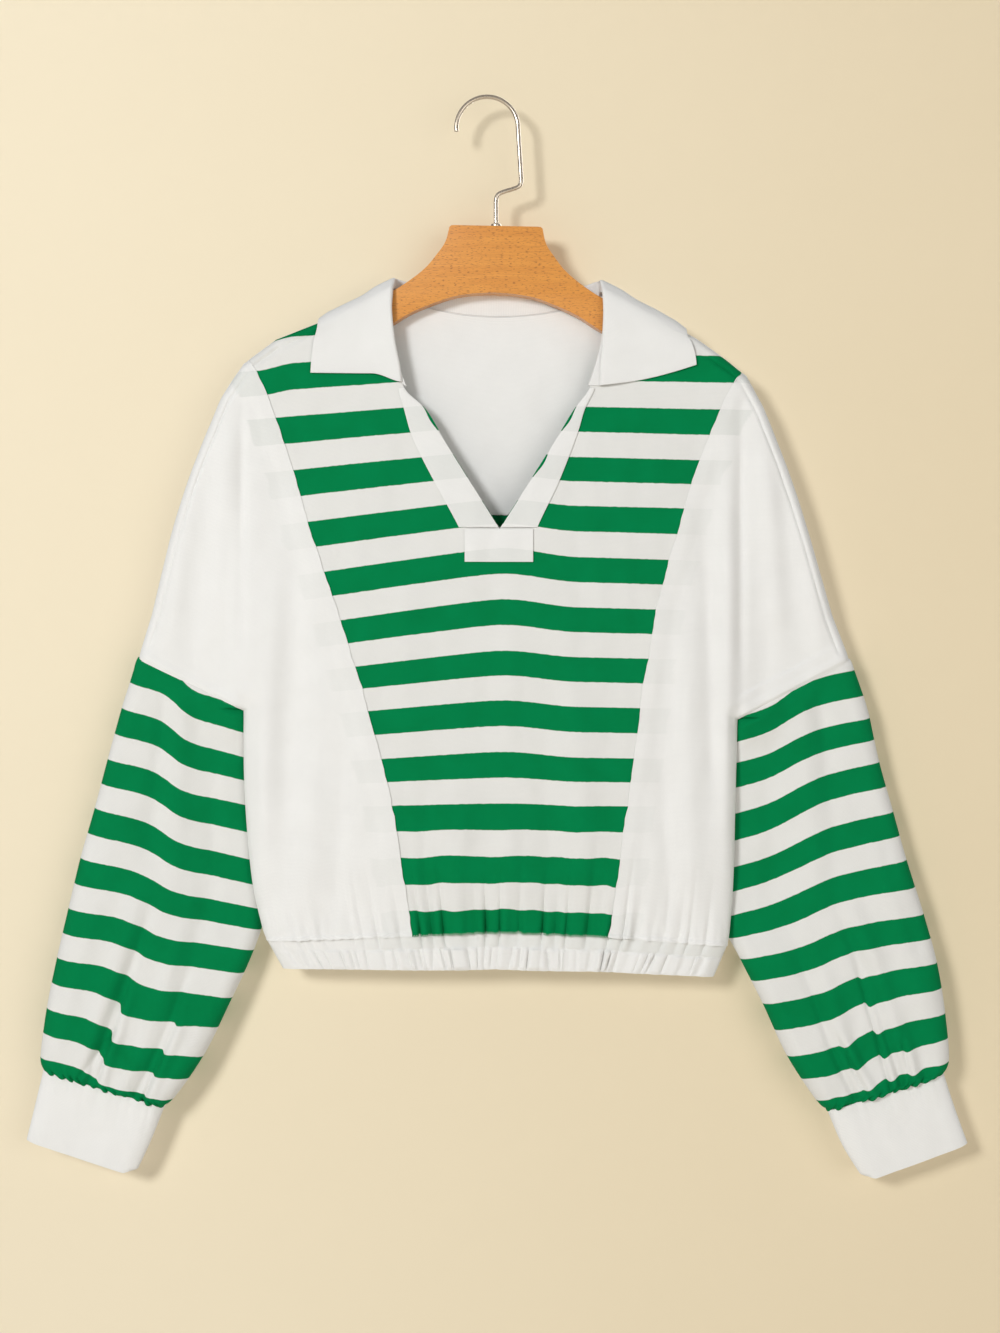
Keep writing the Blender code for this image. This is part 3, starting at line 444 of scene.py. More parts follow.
def along(points, x):
    """z at x on a line of x, z points whose x runs one way."""
    ordered = sorted(points)
    for (x0, z0), (x1, z1) in zip(ordered, ordered[1:]):
        if x <= x1:
            return z0 + (z1 - z0) * (x - x0) / (x1 - x0)
    return ordered[-1][1]


def outer_points(rows, first, last):
    return [(row[0], row[1]) for row in rows[first:last + 1]]


FOLDED_EDGES = (
    (1, list(LEFT_SHOULDER) + outer_points(LEFT_ROWS, 1, ARMHOLE_ROW)),
    (1, outer_points(LEFT_ROWS, UNDERARM_ROW, WAIST_ROW)),
    (-1, list(RIGHT_SHOULDER) + outer_points(RIGHT_ROWS, 1, ARMHOLE_ROW)),
    (-1, outer_points(RIGHT_ROWS, UNDERARM_ROW, WAIST_ROW)),
)


def beside(x, z, x0, z0, x1, z1):
    """The share of a line that a point has come along it, and its distance to one side of it."""
    dx, dz = x1 - x0, z1 - z0
    length = hypot(dx, dz)
    return ((x - x0) * dx + (z - z0) * dz) / length ** 2, ((z - z0) * dx - (x - x0) * dz) / length


def to_edge(x, z, x0, z0, x1, z1):
    """A point's distance to an edge, the share of the edge where it is nearest, and its side."""
    share, side = beside(x, z, x0, z0, x1, z1)
    share = min(max(share, 0.0), 1.0)
    return hypot(x - mix(x0, x1, share), z - mix(z0, z1, share)), share, side


def reach_in(x, z):
    """How far a point of the body lies inside its nearest folded edge, negative outside."""
    nearest, inside = 1e9, 1
    for turn, points in FOLDED_EDGES:
        for start, end in zip(points, points[1:]):
            gap, share, side = to_edge(x, z, *start, *end)
            if gap < nearest - 1e-9:
                nearest = gap
                past_end = start == points[0] and share == 0 or end == points[-1] and share == 1
                inside = -1 if turn * side < 0 and not past_end else 1
    return nearest * inside


def rounded(share):
    share = min(max(share, 0.0), 1.0)
    return sqrt(1 - (1 - share) ** 2)


def flatter_at_sides(half, x):
    return half * mix(1, SIDE_SHARE, ease(70, 230, abs(x)))


def fullness(x, z):
    chest = mix(SHOULDER_HALF, CHEST_HALF, ease(-190, -420, z))
    chest = mix(chest, HEM_HALF, ease(-600, -662, z))
    return max(flatter_at_sides(chest, x), SHOULDER_HALF)


def half_depth(x, z, out=0.0, inward=None):
    """Half the distance from front to back, on a surface moved out by a distance."""
    inward = reach_in(x, z) if inward is None else inward
    turn = mix(SHOULDER_ROUND, SIDE_ROUND, ease(-400, -560, z))
    full = fullness(x, z) + out
    edge = 0.0 if out else EDGE_HALF
    return edge + (full - edge) * rounded((inward + out) / (turn + out))


def set_back(x, z):
    """The arms fold back behind the body's sides, more so towards the underarm."""
    left = ease(FOLD_LEFT_X, FOLD_LEFT_X - SET_BACK_WIDTH, x)
    right = ease(FOLD_RIGHT_X, FOLD_RIGHT_X + SET_BACK_WIDTH, x)
    return ARM_SET_BACK * ease(-270, -470, z) * max(left, right)


def bell(value, width):
    return exp(-((value / width) ** 2))


def folds(table, x, z):
    """The height of long soft folds, each fading at both ends."""
    height = 0.0
    for *line, width, depth in table:
        share, across = beside(x, z, *line)
        height += depth * ease(-0.15, 0.3, share) * ease(1.15, 0.75, share) * bell(across, width) ** 2
    return height


def uneven(number, low, high):
    """A fixed, irregular value between low and high for gather number so and so."""
    return mix(low, high, (sin(number * 12.9898 + 4.1) * 43758.5453) % 1.0)


def gather(place, above, depth, rise):
    """Round ridges between narrow valleys, one to a unit of place, uneven in depth and height."""
    place += 0.3 * sin(1.7 * place + 1) + 0.12 * sin(5.3 * place)
    number, valley = floor(place), round(place)
    ridge = sin(pi * (place - number)) ** 0.8 * uneven(number, 0.5, 1.0)
    ridge *= max(1 - above / (rise * uneven(number + 30, 0.35, 1.0)), 0.0) ** 1.7
    pinch = bell(place - valley, 0.2) * uneven(valley + 70, 0.3, 1.0)
    pinch *= max(1 - above / (rise * uneven(valley + 90, 0.3, 1.0)), 0.0) ** 1.5
    return depth * (1.1 * ridge - 0.8 * pinch)


def gathering(x):
    """How strongly the waist is gathered: least at the left side, most in the middle."""
    return (0.4 + 0.6 * ease(-130, -60, x)) * mix(1.0, 0.6, ease(90, 130, x))


def waist_pleats(x, facing, above):
    """The height of the gathers at the waist; x is where they are sewn to the band."""
    place = (x + 3 * facing) / WAIST_PLEAT
    return gather(place, above, WAIST_PLEAT_DEPTH, WAIST_PLEAT_RISE) * gathering(x)


def rough(x, y=0, z=0):
    """Smooth, fixed unevenness between about -1 and 1; each y gives another one."""
    return noise.noise(Vector((x, y, z)))


def ripple(x, y, z, scale, height):
    """Slight unevenness of cloth that has been worn and hung."""
    return height * rough(x / scale, y, z / scale * 0.7)


def relief(x, z, facing):
    """Folds and unevenness of the body, as a height outwards."""
    hang = ease(-225, -330, z)
    height = folds(BODY_FOLDS, x * -facing, z)
    height += hang * 1.5 * rough(x / 21, 13 * facing, z / 150)
    height += mix(0.5, 1.3, hang) * rough(x / 46, 3 * facing, z / 60)
    return height + 0.45 * rough(x / 15, 5 * facing, z / 24)


def body_depth(x, z, facing, inward=None, pleats=0.0):
    """Half the body's depth with its folds, and with its pleats if given."""
    inward = reach_in(x, z) if inward is None else inward
    height = relief(x, z, facing) + pleats
    return half_depth(x, z, inward=inward) + rounded(inward / SIDE_ROUND) * height


def back_neck_z(shoulder, x):
    neck_x, neck_z = shoulder[0]
    return mix(neck_z, BACK_CENTRE_Z[0], max(1 - (x / neck_x) ** 2, 0.0) ** 0.7)


def row_point(rows, row, part, share, back):
    """A point of one pattern row, in the side panel or in the centre panel."""
    outer_x, outer_z, seam_x, seam_z, inner_x, inner_z = rows[row]
    if part == "side":
        return mix(outer_x, seam_x, share), mix(outer_z, seam_z, share)
    shoulder = LEFT_SHOULDER if seam_x < 0 else RIGHT_SHOULDER
    rise = share
    if back:
        inner_x, inner_z = 0.0, BACK_CENTRE_Z[row]
        rise = 1 - (1 - share) ** 2
    x, z = mix(seam_x, inner_x, share), mix(seam_z, inner_z, rise)
    if row:
        return x, z
    return x, along(shoulder, x) if abs(x) >= abs(shoulder[0][0]) else back_neck_z(shoulder, x)


def body_point(rows, part, share, line, back=False):
    """x, z on the body at a pattern line, smooth between the rows."""
    for first, last in ((0, V_TIP_ROW), (V_TIP_ROW, ARMHOLE_ROW), (ARMHOLE_ROW, UNDERARM_ROW),
                        (UNDERARM_ROW, WAIST_ROW)):
        if line <= last:
            controls = [row_point(rows, row, part, share, back) for row in range(first, last + 1)]
            return through(controls, line - first)


def waist_z(x):
    points = [(row[i], row[i + 1]) for row in (LEFT_ROWS[-1], RIGHT_ROWS[-1]) for i in (0, 2)]
    return along(points + [(0.0, LEFT_ROWS[-1][5])], x)


def body_surface(rows, part, share, line, facing):
    """The jersey's middle at a share of a panel and a line; facing is -1 in front, 1 behind."""
    x, z = body_point(rows, part, share, line, facing > 0)
    inward = reach_in(x, z)
    at_waist = row_point(rows, WAIST_ROW, part, share, False)[0]
    depth = body_depth(x, z, facing, inward, waist_pleats(at_waist, facing, z - waist_z(x)))
    if z > OVERARM_SEAM_END_Z:
        depth -= OVERARM_SEAM_DEPTH * bell(inward - OVERARM_SEAM_IN, 1.0) * ease(0.995, 0.97, share)
    return x, set_back(x, z) + facing * depth, z


def stripe_place(x, z):
    """How many stripes down a point lies: green from a whole number to the next half."""
    to_left = (hypot(min(x - STRIPES_X, 0), STRIPES_BEND) - STRIPES_BEND) / STRIPES_REACH
    to_right = 0.6 * ease(8, 62, x) + 0.4 * max(x - STRIPES_X, 0) / STRIPES_OUT
    wave = 3.2 * ease(-540, -650, z) * rough(x / 17, 31, z / 90)
    wave -= 4.5 * ease(-160, -192, x) * ease(-262, -225, z)
    heights = [middle - left * to_left - right * to_right + wave for middle, left, right in STRIPES]
    index = 0
    while index < len(heights) - 2 and z < heights[index + 1]:
        index += 1
    place = index - 1 + (heights[index] - z) / (heights[index] - heights[index + 1])
    if -202 < x < -150 and z > -215:
        return min(place, mix(0.32, place, ease(0.0, 2.6, along(LEFT_SHOULDER, x) - z)))
    return place


def settle_depth(piece, times):
    """Evens out the depth of all points but those on an open edge."""
    faces_at = {}
    for face in piece.data.polygons:
        for key in face.edge_keys:
            faces_at[key] = faces_at.get(key, 0) + 1
    rim = {vert for key, count in faces_at.items() if count == 1 for vert in key}
    inner = piece.vertex_groups.new(name="inside the edges")
    inner.add([index for index in range(len(piece.data.vertices)) if index not in rim], 1.0, "REPLACE")
    settling = piece.modifiers.new("settled", "SMOOTH")
    settling.use_x = settling.use_z = False
    settling.iterations = times
    settling.vertex_group = inner.name


def laid_cloth(name, slot, node, *patches, wall=KNIT, settle=0):
    """One piece of cloth: grids laid by place(across, down) -> x, y, z, u, v, under, then a wall.

    u and v run in stripe repeats across and along the cloth, v as its stripes are counted, and
    under tells where a second layer lies beneath."""
    made = []
    for place, columns, lines in patches:
        bpy.ops.mesh.primitive_grid_add(x_subdivisions=columns, y_subdivisions=lines, size=1)
        patch = bpy.context.object
        values = []
        for vert in patch.data.vertices:
            x, y, z, u, v, under = place(round(vert.co.x + 0.5, 6), round(vert.co.y + 0.5, 6))
            vert.co = ((GARMENT_X + x) * MM, y * MM, z * MM)
            values.append((u, v, under))
        uvs = patch.data.uv_layers.active
        uvs.name = "cloth"
        for loop in patch.data.loops:
            uvs.data[loop.index].uv = values[loop.vertex_index][:2]
        below = patch.data.attributes.new("under", "FLOAT", "POINT")
        below.data.foreach_set("value", [value[2] for value in values])
        made.append(patch)
    piece = made[0]
    pick(piece)
    for patch in made[1:]:
        patch.select_set(True)
    if len(made) > 1:
        bpy.ops.object.join()
    piece.name = name
    as_mesh(piece)
    if settle:
        settle_depth(piece, settle)
    thickness = piece.modifiers.new("wall", "SOLIDIFY")
    thickness.thickness = wall * MM
    thickness.offset = 0
    apply_modifiers(piece)
    smooth(piece, 50)
    dress(piece, knits[slot], slot, node)
    return piece


# Stocking stitch: the height of its stitches, and how much painted shade darkens the gaps between them
jersey = bpy.data.node_groups.new("jersey", "ShaderNodeTree")
for name, way, kind in (("Place", "INPUT", "Vector"), ("Height", "OUTPUT", "Float"),
                        ("Gap_shade", "OUTPUT", "Float")):
    jersey.interface.new_socket(name, in_out=way, socket_type="NodeSocket" + kind)
inputs = jersey.nodes.new("NodeGroupInput")
outputs = jersey.nodes.new("NodeGroupOutput")
parts = add_node(jersey, "SeparateXYZ", Vector=inputs.outputs[0])
side = sum_of(jersey, "PINGPONG", sum_of(jersey, "MULTIPLY", parts.outputs[0], REPEAT / WALE), 0.5)
slanted = sum_of(jersey, "MULTIPLY_ADD", parts.outputs[1], REPEAT / COURSE,
                 sum_of(jersey, "MULTIPLY", side, 1.3))
leg = sum_of(jersey, "PINGPONG", slanted, 0.5)
round_leg = sum_of(jersey, "SINE", sum_of(jersey, "MULTIPLY", leg, pi))
round_wale = sum_of(jersey, "SINE", sum_of(jersey, "MULTIPLY", side, 2 * pi))
height = sum_of(jersey, "MULTIPLY", round_leg,
                sum_of(jersey, "MULTIPLY_ADD", round_wale, 0.6, 0.4))
feed(outputs, "Height", height)
feed(outputs, "Gap_shade", sum_of(jersey, "SUBTRACT", 1.0, height, clamp=True))


def knit_material(name):
    """White knit, through which stripes beneath it show, or knit in green and white stripes."""
    striped = name == "striped knit"
    made, tree, shader = new_material(
        name, (0.8, 0.8, 0.78, 1), 0.88, Sheen_Weight=0.0 if striped else 0.08,
        Sheen_Roughness=0.6, Specular_IOR_Level=0.06)
    place = add_node(tree, "UVMap", {"uv_map": "cloth"}).outputs[0]
    stitches = add_node(tree, "Group", {"node_tree": jersey}, Place=place)
    parts = add_node(tree, "SeparateXYZ", Vector=place)
    counted = sum_of(tree, "MULTIPLY_ADD", noise_of(tree, place, 9.0, 2.0), 0.02, parts.outputs[1])
    from_green = sum_of(tree, "PINGPONG", sum_of(tree, "SUBTRACT", counted, 0.26), 0.5)
    stripe = ramp(tree, from_green, 0.243, 0.257, 1.0, 0.0)
    blotch = noise_of(tree, place, 1.6, 4.0)
    if striped:
        white_yarn = blend(tree, blotch, (0.78, 0.778, 0.755, 1), (0.83, 0.828, 0.81, 1))
        green_yarn = blend(tree, blotch, (0.0, 0.19, 0.054, 1), (0.0, 0.24, 0.078, 1))
        yarn = blend(tree, stripe, white_yarn, green_yarn)
    else:
        white_yarn = blend(tree, blotch, (0.84, 0.838, 0.825, 1), (0.90, 0.90, 0.89, 1))
        below = add_node(tree, "Attribute", {"attribute_name": "under"}).outputs["Fac"]
        through_it = sum_of(tree, "MULTIPLY", sum_of(tree, "MULTIPLY", below, stripe), 0.42)
        yarn = blend(tree, through_it, white_yarn, (0.66, 0.69, 0.66, 1))
    # Painted shade: the colour is darkened in the gaps between the stitches, where shade falls between the
    # loops.
    shade = sum_of(tree, "MULTIPLY", stitches.outputs[1], 0.35)
    feed(shader, "Base Color", blend(tree, shade, yarn, (0.62, 0.62, 0.60, 1), "MULTIPLY"))
    fuzzy = sum_of(tree, "MULTIPLY_ADD", noise_of(tree, place, 90.0, 2.0), 0.5, stitches.outputs[0])
    bump = add_node(tree, "Bump", Strength=0.5, Distance=0.0003, Height=fuzzy)
    feed(shader, "Normal", bump.outputs[0])
    return made


knits = {name: knit_material(name) for name in ("striped knit", "white knit", "white rib")}


def centre_place(rows, facing, first, last, tuck, across, down):
    """Lays half a centre panel between two pattern lines; its long seam is at 0 across."""
    line = mix(first, last, down)
    x, y, z = body_surface(rows, "centre", across ** CENTRE_BIAS, line, facing)
    v = stripe_place(x, z)
    if last == WAIST_ROW:
        z -= ease(*HEM_LINES, line) * (1.6 + 0.9 * rough(x / 4.5, 8) + 0.5 * rough(x / 1.8, 2))
        y += facing * HEM_LAP * ease(*HEM_LAP_LINES, line)
    if last == YOKE_ROW:
        z -= 2.2 * ease(3.9, 4, line) * (1 + 0.5 * rough(x / 1.7, 4))
        z += 1.5 * ease(0.2, 0, line) * ease(88, 80, abs(x))
    return x, y - facing * tuck, z, x / REPEAT, v, 0.0


def centre_cloth(name, facing, first, last, columns, lines, slot, node, tuck=0.0):
    """Both halves of a centre panel between two pattern lines, joined in the middle."""
    patches = [(partial(centre_place, rows, facing, first, last, tuck), columns, lines)
               for rows in (LEFT_ROWS, RIGHT_ROWS)]
    return laid_cloth(name, slot, node, *patches)


front = centre_cloth("front_jersey", -1, 0, WAIST_ROW, 76, 170, "striped knit", "front_centre")

overlock_yarn, tree, shader = new_material("overlock thread", (0.85, 0.84, 0.81, 1), 0.7)
twist = noise_of(tree, own_place(tree), 1500.0, 1.0)
feed(shader, "Base Color", blend(tree, twist, (0.74, 0.73, 0.70, 1), (0.92, 0.91, 0.89, 1)))
OVERLOCK_PITCH, OVERLOCK_REACH, THREAD = 1.9, 1.5, 0.26


def overlock(name, facing, row, inset, tuck=0.0):
    """White overlock thread laid to and fro along a centre panel's cut lower edge, at a row."""
    start, end = LEFT_ROWS[row][2] + inset, RIGHT_ROWS[row][2] - inset
    count = int(2 * (end - start) / OVERLOCK_PITCH)
    route = []
    for index in range(count + 1):
        x = mix(start, end, index / count)
        rows = LEFT_ROWS if x < 0 else RIGHT_ROWS
        across = (1 - x / rows[row][2]) ** (1 / CENTRE_BIAS)
        _, y, z, _, _, _ = centre_place(rows, facing, 0, row, tuck, across, 1.0)
        route.append((GARMENT_X + x, y - KNIT / 2 - THREAD * 0.4,
                      z + (OVERLOCK_REACH if index % 2 else -0.25)))
    thread = as_mesh(curve_piece(name, route, THREAD, 1))
    smooth(thread, 60)
    dress(thread, overlock_yarn, "white knit")


overlock("hem_overlock", -1, WAIST_ROW, 2.5)

# -------- side panels
# Plain white jersey, each cut in one with the top of the arm, lapped on the striped panel with a
# cut edge and gathered with it at the waist. The back has the same pair.

LAP, LAP_OFF = 1.6, 1.05


def side_place(rows, facing, across, down):
    """Lays a side panel from its outer fold to a little past the long seam."""
    turn = 1 if rows is LEFT_ROWS else -1
    line = WAIST_ROW * down
    share = mix(across ** 1.25, across, ease(8.5, 10.2, line))
    x, y, z = body_surface(rows, "side", share, line, facing)
    to_seam = abs(x - body_point(rows, "side", 1.0, line)[0])
    y += facing * LAP_OFF * ease(16, 5, to_seam) * ease(0.0, 0.5, line)
    ragged = ripple(turn, 5, z, 5.5, 0.7) + ripple(turn, 6, z, 19, 1.4 if turn < 0 else 0.6)
    x += turn * (LAP + ragged) * ease(6, 0, to_seam) * ease(0.0, 0.4, line)
    v = stripe_place(x, z)
    above, _, _ = to_edge(x, z, *rows[ARMHOLE_ROW][:2], *rows[UNDERARM_ROW][:2])
    off = 0.9 * ease(8, 2, above) + 0.8 * rough(x / 3.2, 0, z / 14) * ease(16, 3, above)
    z -= 1.7 * ease(6, 0, above)
    if rows is RIGHT_ROWS:
        off += 1.1 * ease(16, 13, above + ripple(x, 2, z, 12, 2.0)) * ease(188, 196, x)
    off += HEM_LAP * ease(*HEM_LAP_LINES, line)
    off += 1.1 * rough(x / 4.2, 2, z / 15) * ease(24, 4, z - waist_z(x))
    y += facing * off * ease(0.0, 0.05, share)
    z -= ease(*HEM_LINES, line) * (1.4 + 1.2 * rough(x / 5.0, 8))
    under = 0.0
    if facing < 0:
        under = ease(23, 21, to_seam + ripple(x, 0, z, 9, 3.0)) * mix(0.35, 1.0, ease(-330, -250, z))
    return x, y, z, x / REPEAT, v, under


for side, rows in (("left", LEFT_ROWS), ("right", RIGHT_ROWS)):
    for face, facing in (("front", -1), ("back", 1)):
        panel = laid_cloth(face + "_white_" + side, "white knit", face + "_side_" + side,
                           (partial(side_place, rows, facing), 84, 180), settle=3)

# -------- back
# A plain white yoke across the shoulders, its overlocked lower seam seen inside the V, over a
# striped lower panel. Outside the V both are hidden, and are finished as the front's.

YOKE_TUCK = 0.9
back_yoke = centre_cloth("back_yoke_jersey", 1, 0, YOKE_ROW, 64, 56, "white knit", "back_yoke", YOKE_TUCK)
overlock("yoke_overlock", 1, YOKE_ROW, 3, YOKE_TUCK)

back_low = centre_cloth("back_jersey", 1, YOKE_ROW, WAIST_ROW, 60, 112, "striped knit", "back_centre")

# -------- sleeves
# Full sleeves of the striped jersey, knit lengthwise so that the stripes go round the arm, set to
# the drop shoulder with a narrow seam and drawn up into the cuff in short, deep puckers.

LEFT_SLEEVE = (
    # outer x, z     inner x, z    set back outer, inner, half depth, stripes outer, inner
    (-286.6, -443.6, -203.6, -483.6, 6, 0, 9, 1, 1),
    (-290.6, -454, -201.5, -494, 6, 3.5, 9.5, 1.26, 1.26),
    (-294.5, -466.7, -199.5, -508, 6, 8, 10, 1.57, 1.57),
    (-300.1, -484.2, -197, -525.5, 6, 12, 10, 2, 2),
    (-311.2, -524.7, -194.5, -563.7, 6, 14, 10, 3, 3),
    (-321.6, -563.7, -190.5, -607.4, 6, 14.6, 10, 4, 4),
    (-332.7, -603.4, -187.5, -645.5, 5, 14, 11, 5, 5),
    (-342.2, -643.2, -196, -677.3, 5, 9, 12, 6, 6),
    (-351, -682.1, -212.7, -714.7, 4, 6, 12, 7, 7),
    (-358.9, -721.9, -234.9, -760, 3, 4, 12, 8, 8),
    (-364.1, -760.8, -258, -793.4, 3, 3, 10, 9, 9),
    (-361.3, -771.2, -266.7, -799.8, 3, 3, 7, 9.42, 9.3),
)
RIGHT_SLEEVE = (
    (279.4, -445.2, 190.9, -490.7, 6, 0, 9, 0.76, 0.98),
    (283.4, -454, 188.6, -502, 6, 3.5, 9.5, 1, 1.25),
    (287.4, -465.1, 186.6, -514, 6, 8, 10, 1.25, 1.55),
    (294.5, -487.3, 184, -529.5, 6, 12, 10, 1.86, 2),
    (303.3, -527.1, 182, -570.8, 6, 14.5, 10, 3, 3),
    (314.4, -566.8, 180.5, -613.7, 6, 15, 10, 4, 4),
    (324.8, -605, 178.5, -652, 5, 15, 11, 5, 5),
    (338.3, -647.9, 193.6, -684.5, 5, 9, 12, 6, 6),
    (348.6, -686.1, 211.1, -719.5, 4, 6, 12, 7, 7),
    (355, -725.9, 230.2, -760.8, 3, 4, 12, 8, 8),
    (358.1, -763.2, 253.2, -795.8, 3, 3, 10, 9, 9),
    (353.4, -774.3, 262, -803, 3, 3, 7, 9.42, 9.3),
)
# How far the stripes stray from straight lines, in stripes, at tenths across from the outer edge
LEFT_STRAY = (0, -0.02, -0.055, -0.06, 0.0, 0.1, 0.12, 0.085, 0.05, 0.02, 0)
RIGHT_STRAY = (0, -0.045, -0.09, -0.115, -0.13, -0.1, -0.03, 0.03, 0.035, 0.015, 0)
SLEEVE_ROUND, SLEEVE_PLEAT, SLEEVE_ROW_LENGTH = 13.0, 9.0, 30.0
# Soft folds on a sleeve: hundredths across and tenths of a row down, at the top and the bottom
SLEEVE_FOLDS = (
    (45, -10, 52, -70, 12, 3), (30, -10, 36, -60, 9, -2.2), (72, -30, 70, -80, 10, -2.6),
    (36, -60, 30, -112, 7, 3), (43, -66, 38, -112, 4.5, -3.4), (62, -64, 66, -112, 7, 2.6),
    (72, -74, 76, -112, 4, -2.6), (16, -50, 14, -100, 8, 1.8),
)
# Deep creases above the cuffs: top x, z, bottom x, z, depth, and how far, in stripes, the stripes
# on their right hang lower
CREASES = (
    (-296, -712, -315, -772, 2.6, 0.12), (-255, -733, -281, -793, 2.6, 0.09),
    (-303, -740, -331, -775, 1.6, 0.04), (286, -698, 309, -782, 2.6, 0.13),
    (267, -744, 293, -792, 2.6, 0.08), (319, -748, 326, -780, 2.2, 0.07),
)


def creases(x, z):
    """The height of the deep creases, and the shift of the stripes beside them."""
    height = shift = 0.0
    for *line, depth, step in CREASES:
        share, across = beside(x, z, *line)
        ends = ease(-0.25, 0.2, share) * ease(1.3, 1.0, share)
        height += depth * ends * (0.8 * bell(across - 5, 4) - bell(across, 2))
        shift += step * ends * ease(-2.2, 2.2, across) * exp(-max(across, 0) / 22)
    return height, shift


def tube_point(across, outer_x, outer_z, inner_x, inner_z):
    """Across a flattened tube: x, z, share from its outer edge, face, width, and its roundness."""
    share = (1 - cos(2 * pi * across)) / 2
    width = hypot(outer_x - inner_x, outer_z - inner_z)
    flat = rounded(width * min(share, 1 - share) / SLEEVE_ROUND)
    x, z = mix(outer_x, inner_x, share), mix(outer_z, inner_z, share)
    return x, z, share, -1 if across <= 0.5 else 1, width, flat


def sleeve_place(rows, stray, first_pleat, across, down):
    last = len(rows) - 1
    line = last * down
    *edges, out_back, in_back, full, v_out, v_in = through(rows, line)
    x, z, share, facing, width, flat = tube_point(across, *edges)
    depth = full * flat
    back = mix(out_back, in_back, ease(0.1, 1, share))
    if line < 1:
        at_armhole = max(body_depth(x, z, facing) - 0.6, 0.3) if 0 < share < 1 else 0.0
        depth = mix(at_armhole, depth, line)
        back = mix(set_back(x, z), back, line)
    above = (last - line) * SLEEVE_ROW_LENGTH
    number = share * width / SLEEVE_PLEAT + (40 if facing > 0 else first_pleat)
    pleat = gather(number, above, 4.6, 42) + gather(number / 3.1, above, 1.6, 110)
    pleat *= mix(0.4, 1.0, ease(0, 7, above))
    crease, shift = creases(x, z) if facing < 0 else (0.0, 0.0)
    soft = folds(SLEEVE_FOLDS, share * 100, line * -10)
    soft += ripple(x, 7 * facing, z, 30, 1.6) + ripple(x, 9 * facing, z, 12, 0.4)
    belly = 1.5 * ease(45, 12, above) * ease(0, 8, above)
    depth += flat * (pleat + crease + soft * min(line, 1) + belly)
    z += (0.8 * sin(2 * pi * number) - 1.3) * ease(9, 0, above)
    v = mix(v_out, v_in, share) - through([(value,) for value in stray], 10 * share)[0]
    v -= shift * ease(0, 22, above)
    v += 0.035 * ripple(x, 15, z, 9, 1.0) * ease(70, 20, above)
    return x, back + facing * depth, z, share * width / REPEAT + (9 if facing > 0 else 0), v, 0.0


for side, rows, stray, first_pleat in (("left", LEFT_SLEEVE, LEFT_STRAY, -7),
                                       ("right", RIGHT_SLEEVE, RIGHT_STRAY, 7)):
    sleeve = laid_cloth("striped_sleeve_" + side, "striped knit", "sleeve_" + side,
                        (partial(sleeve_place, rows, stray, first_pleat), 300, 150), settle=1)

# -------- cuffs
# A straight band of plain white jersey, doubled, turned once and sewn on round the gathered sleeve.

LEFT_CUFF = ((-361.3, -771.8, -266.7, -800.4, 7), (-368, -800, -278, -829, 6.5),
             (-374.8, -827.6, -290.5, -855.5, 6))
RIGHT_CUFF = ((353.4, -774.9, 262.6, -803.6, 7), (362.5, -803, 275, -832.5, 6.5),
              (372.5, -830.5, 292.2, -860, 6))
DOUBLED_CUFF, CUFF_BACK, CUFF_PLEAT = 1.9, 3, 9.5


def cuff_place(rows, across, down):
    *edges, full = through(rows, 2 * down)
    x, z, share, facing, width, flat = tube_point(across, *edges)
    full += gather(share * width / CUFF_PLEAT, 60 * down, 0.9, 40) + ripple(x, 11 * facing, z, 15, 0.7)
    z += 4.0 * ease(0.9, 1.0, share) * ease(0.84, 1.0, down)
    return x, CUFF_BACK + facing * flat * full, z, share * width / REPEAT, down * 1.4, 0.0


for side, rows in (("left", LEFT_CUFF), ("right", RIGHT_CUFF)):
    cuff = laid_cloth("doubled_cuff_" + side, "white rib", "cuff_" + side,
                      (partial(cuff_place, rows), 150, 40), wall=DOUBLED_CUFF)

# -------- waistband
# White jersey drawn over elastic and sewn to the gathered lower edge; its ends slant inwards.

# The band's height at its left end, middle and right end, and how far its ends slant inwards
BAND_HEIGHTS, BAND_END_TUCK = ((23,), (30,), (25.5,)), 13.0
BAND_SEAM = 0.41  # the share of the way down where the elastic's casing begins
BAND_PLEAT = 9.4


def band_place(across, down):
    facing = -1 if across <= 0.5 else 1
    turn = across * 2 if facing < 0 else 2 - across * 2
    left_x, right_x = LEFT_ROWS[-1][0], RIGHT_ROWS[-1][0]
    x = mix(left_x, right_x, turn)
    z = waist_z(x)
    flat = rounded(min(x - left_x, right_x - x) / SIDE_ROUND)
    height = waist_pleats(x, facing, 0.0) * mix(0.8, 0.3, ease(0.0, 0.5, down))
    slant = 0.9 * down * rough(x / 17, 3 * facing)
    strength = max(1.0 + 1.5 * rough(x / 24, 7 * facing), 0.2)
    strength *= gathering(x) * ease(0.36, 0.46, down) * ease(1.02, 0.9, down)
    height += strength * gather(x / BAND_PLEAT + 60 + slant, 0.0, 2.6, 90)
    depth = flat * (flatter_at_sides(HEM_HALF, x) + height)
    depth -= 0.7 * bell(down - BAND_SEAM, 0.03) * ease(-150, -90, x)
    middle, half = mix(left_x, right_x, 0.5), (right_x - left_x) / 2
    x = middle + (x - middle) * (1 - down * BAND_END_TUCK / half)
    x += 2.5 * down * sin(turn * 21)
    z -= 0.3 + down * through(BAND_HEIGHTS, 2 * turn)[0]
    under = 0.7 * ease(BAND_SEAM + 0.01, BAND_SEAM - 0.02, down) * ease(-130, -60, x)
    return x, facing * depth * (1 - 0.12 * down), z, turn * 9.6, down * 0.7, under


band = laid_cloth("gathered_waistband", "white knit", "waistband", (band_place, 640, 22))

# -------- collar
# One piece of doubled white rib sewn round the neck: a low stand, a soft rolled fold and a fall
# that lies on the shoulders, with a pointed end on each side.

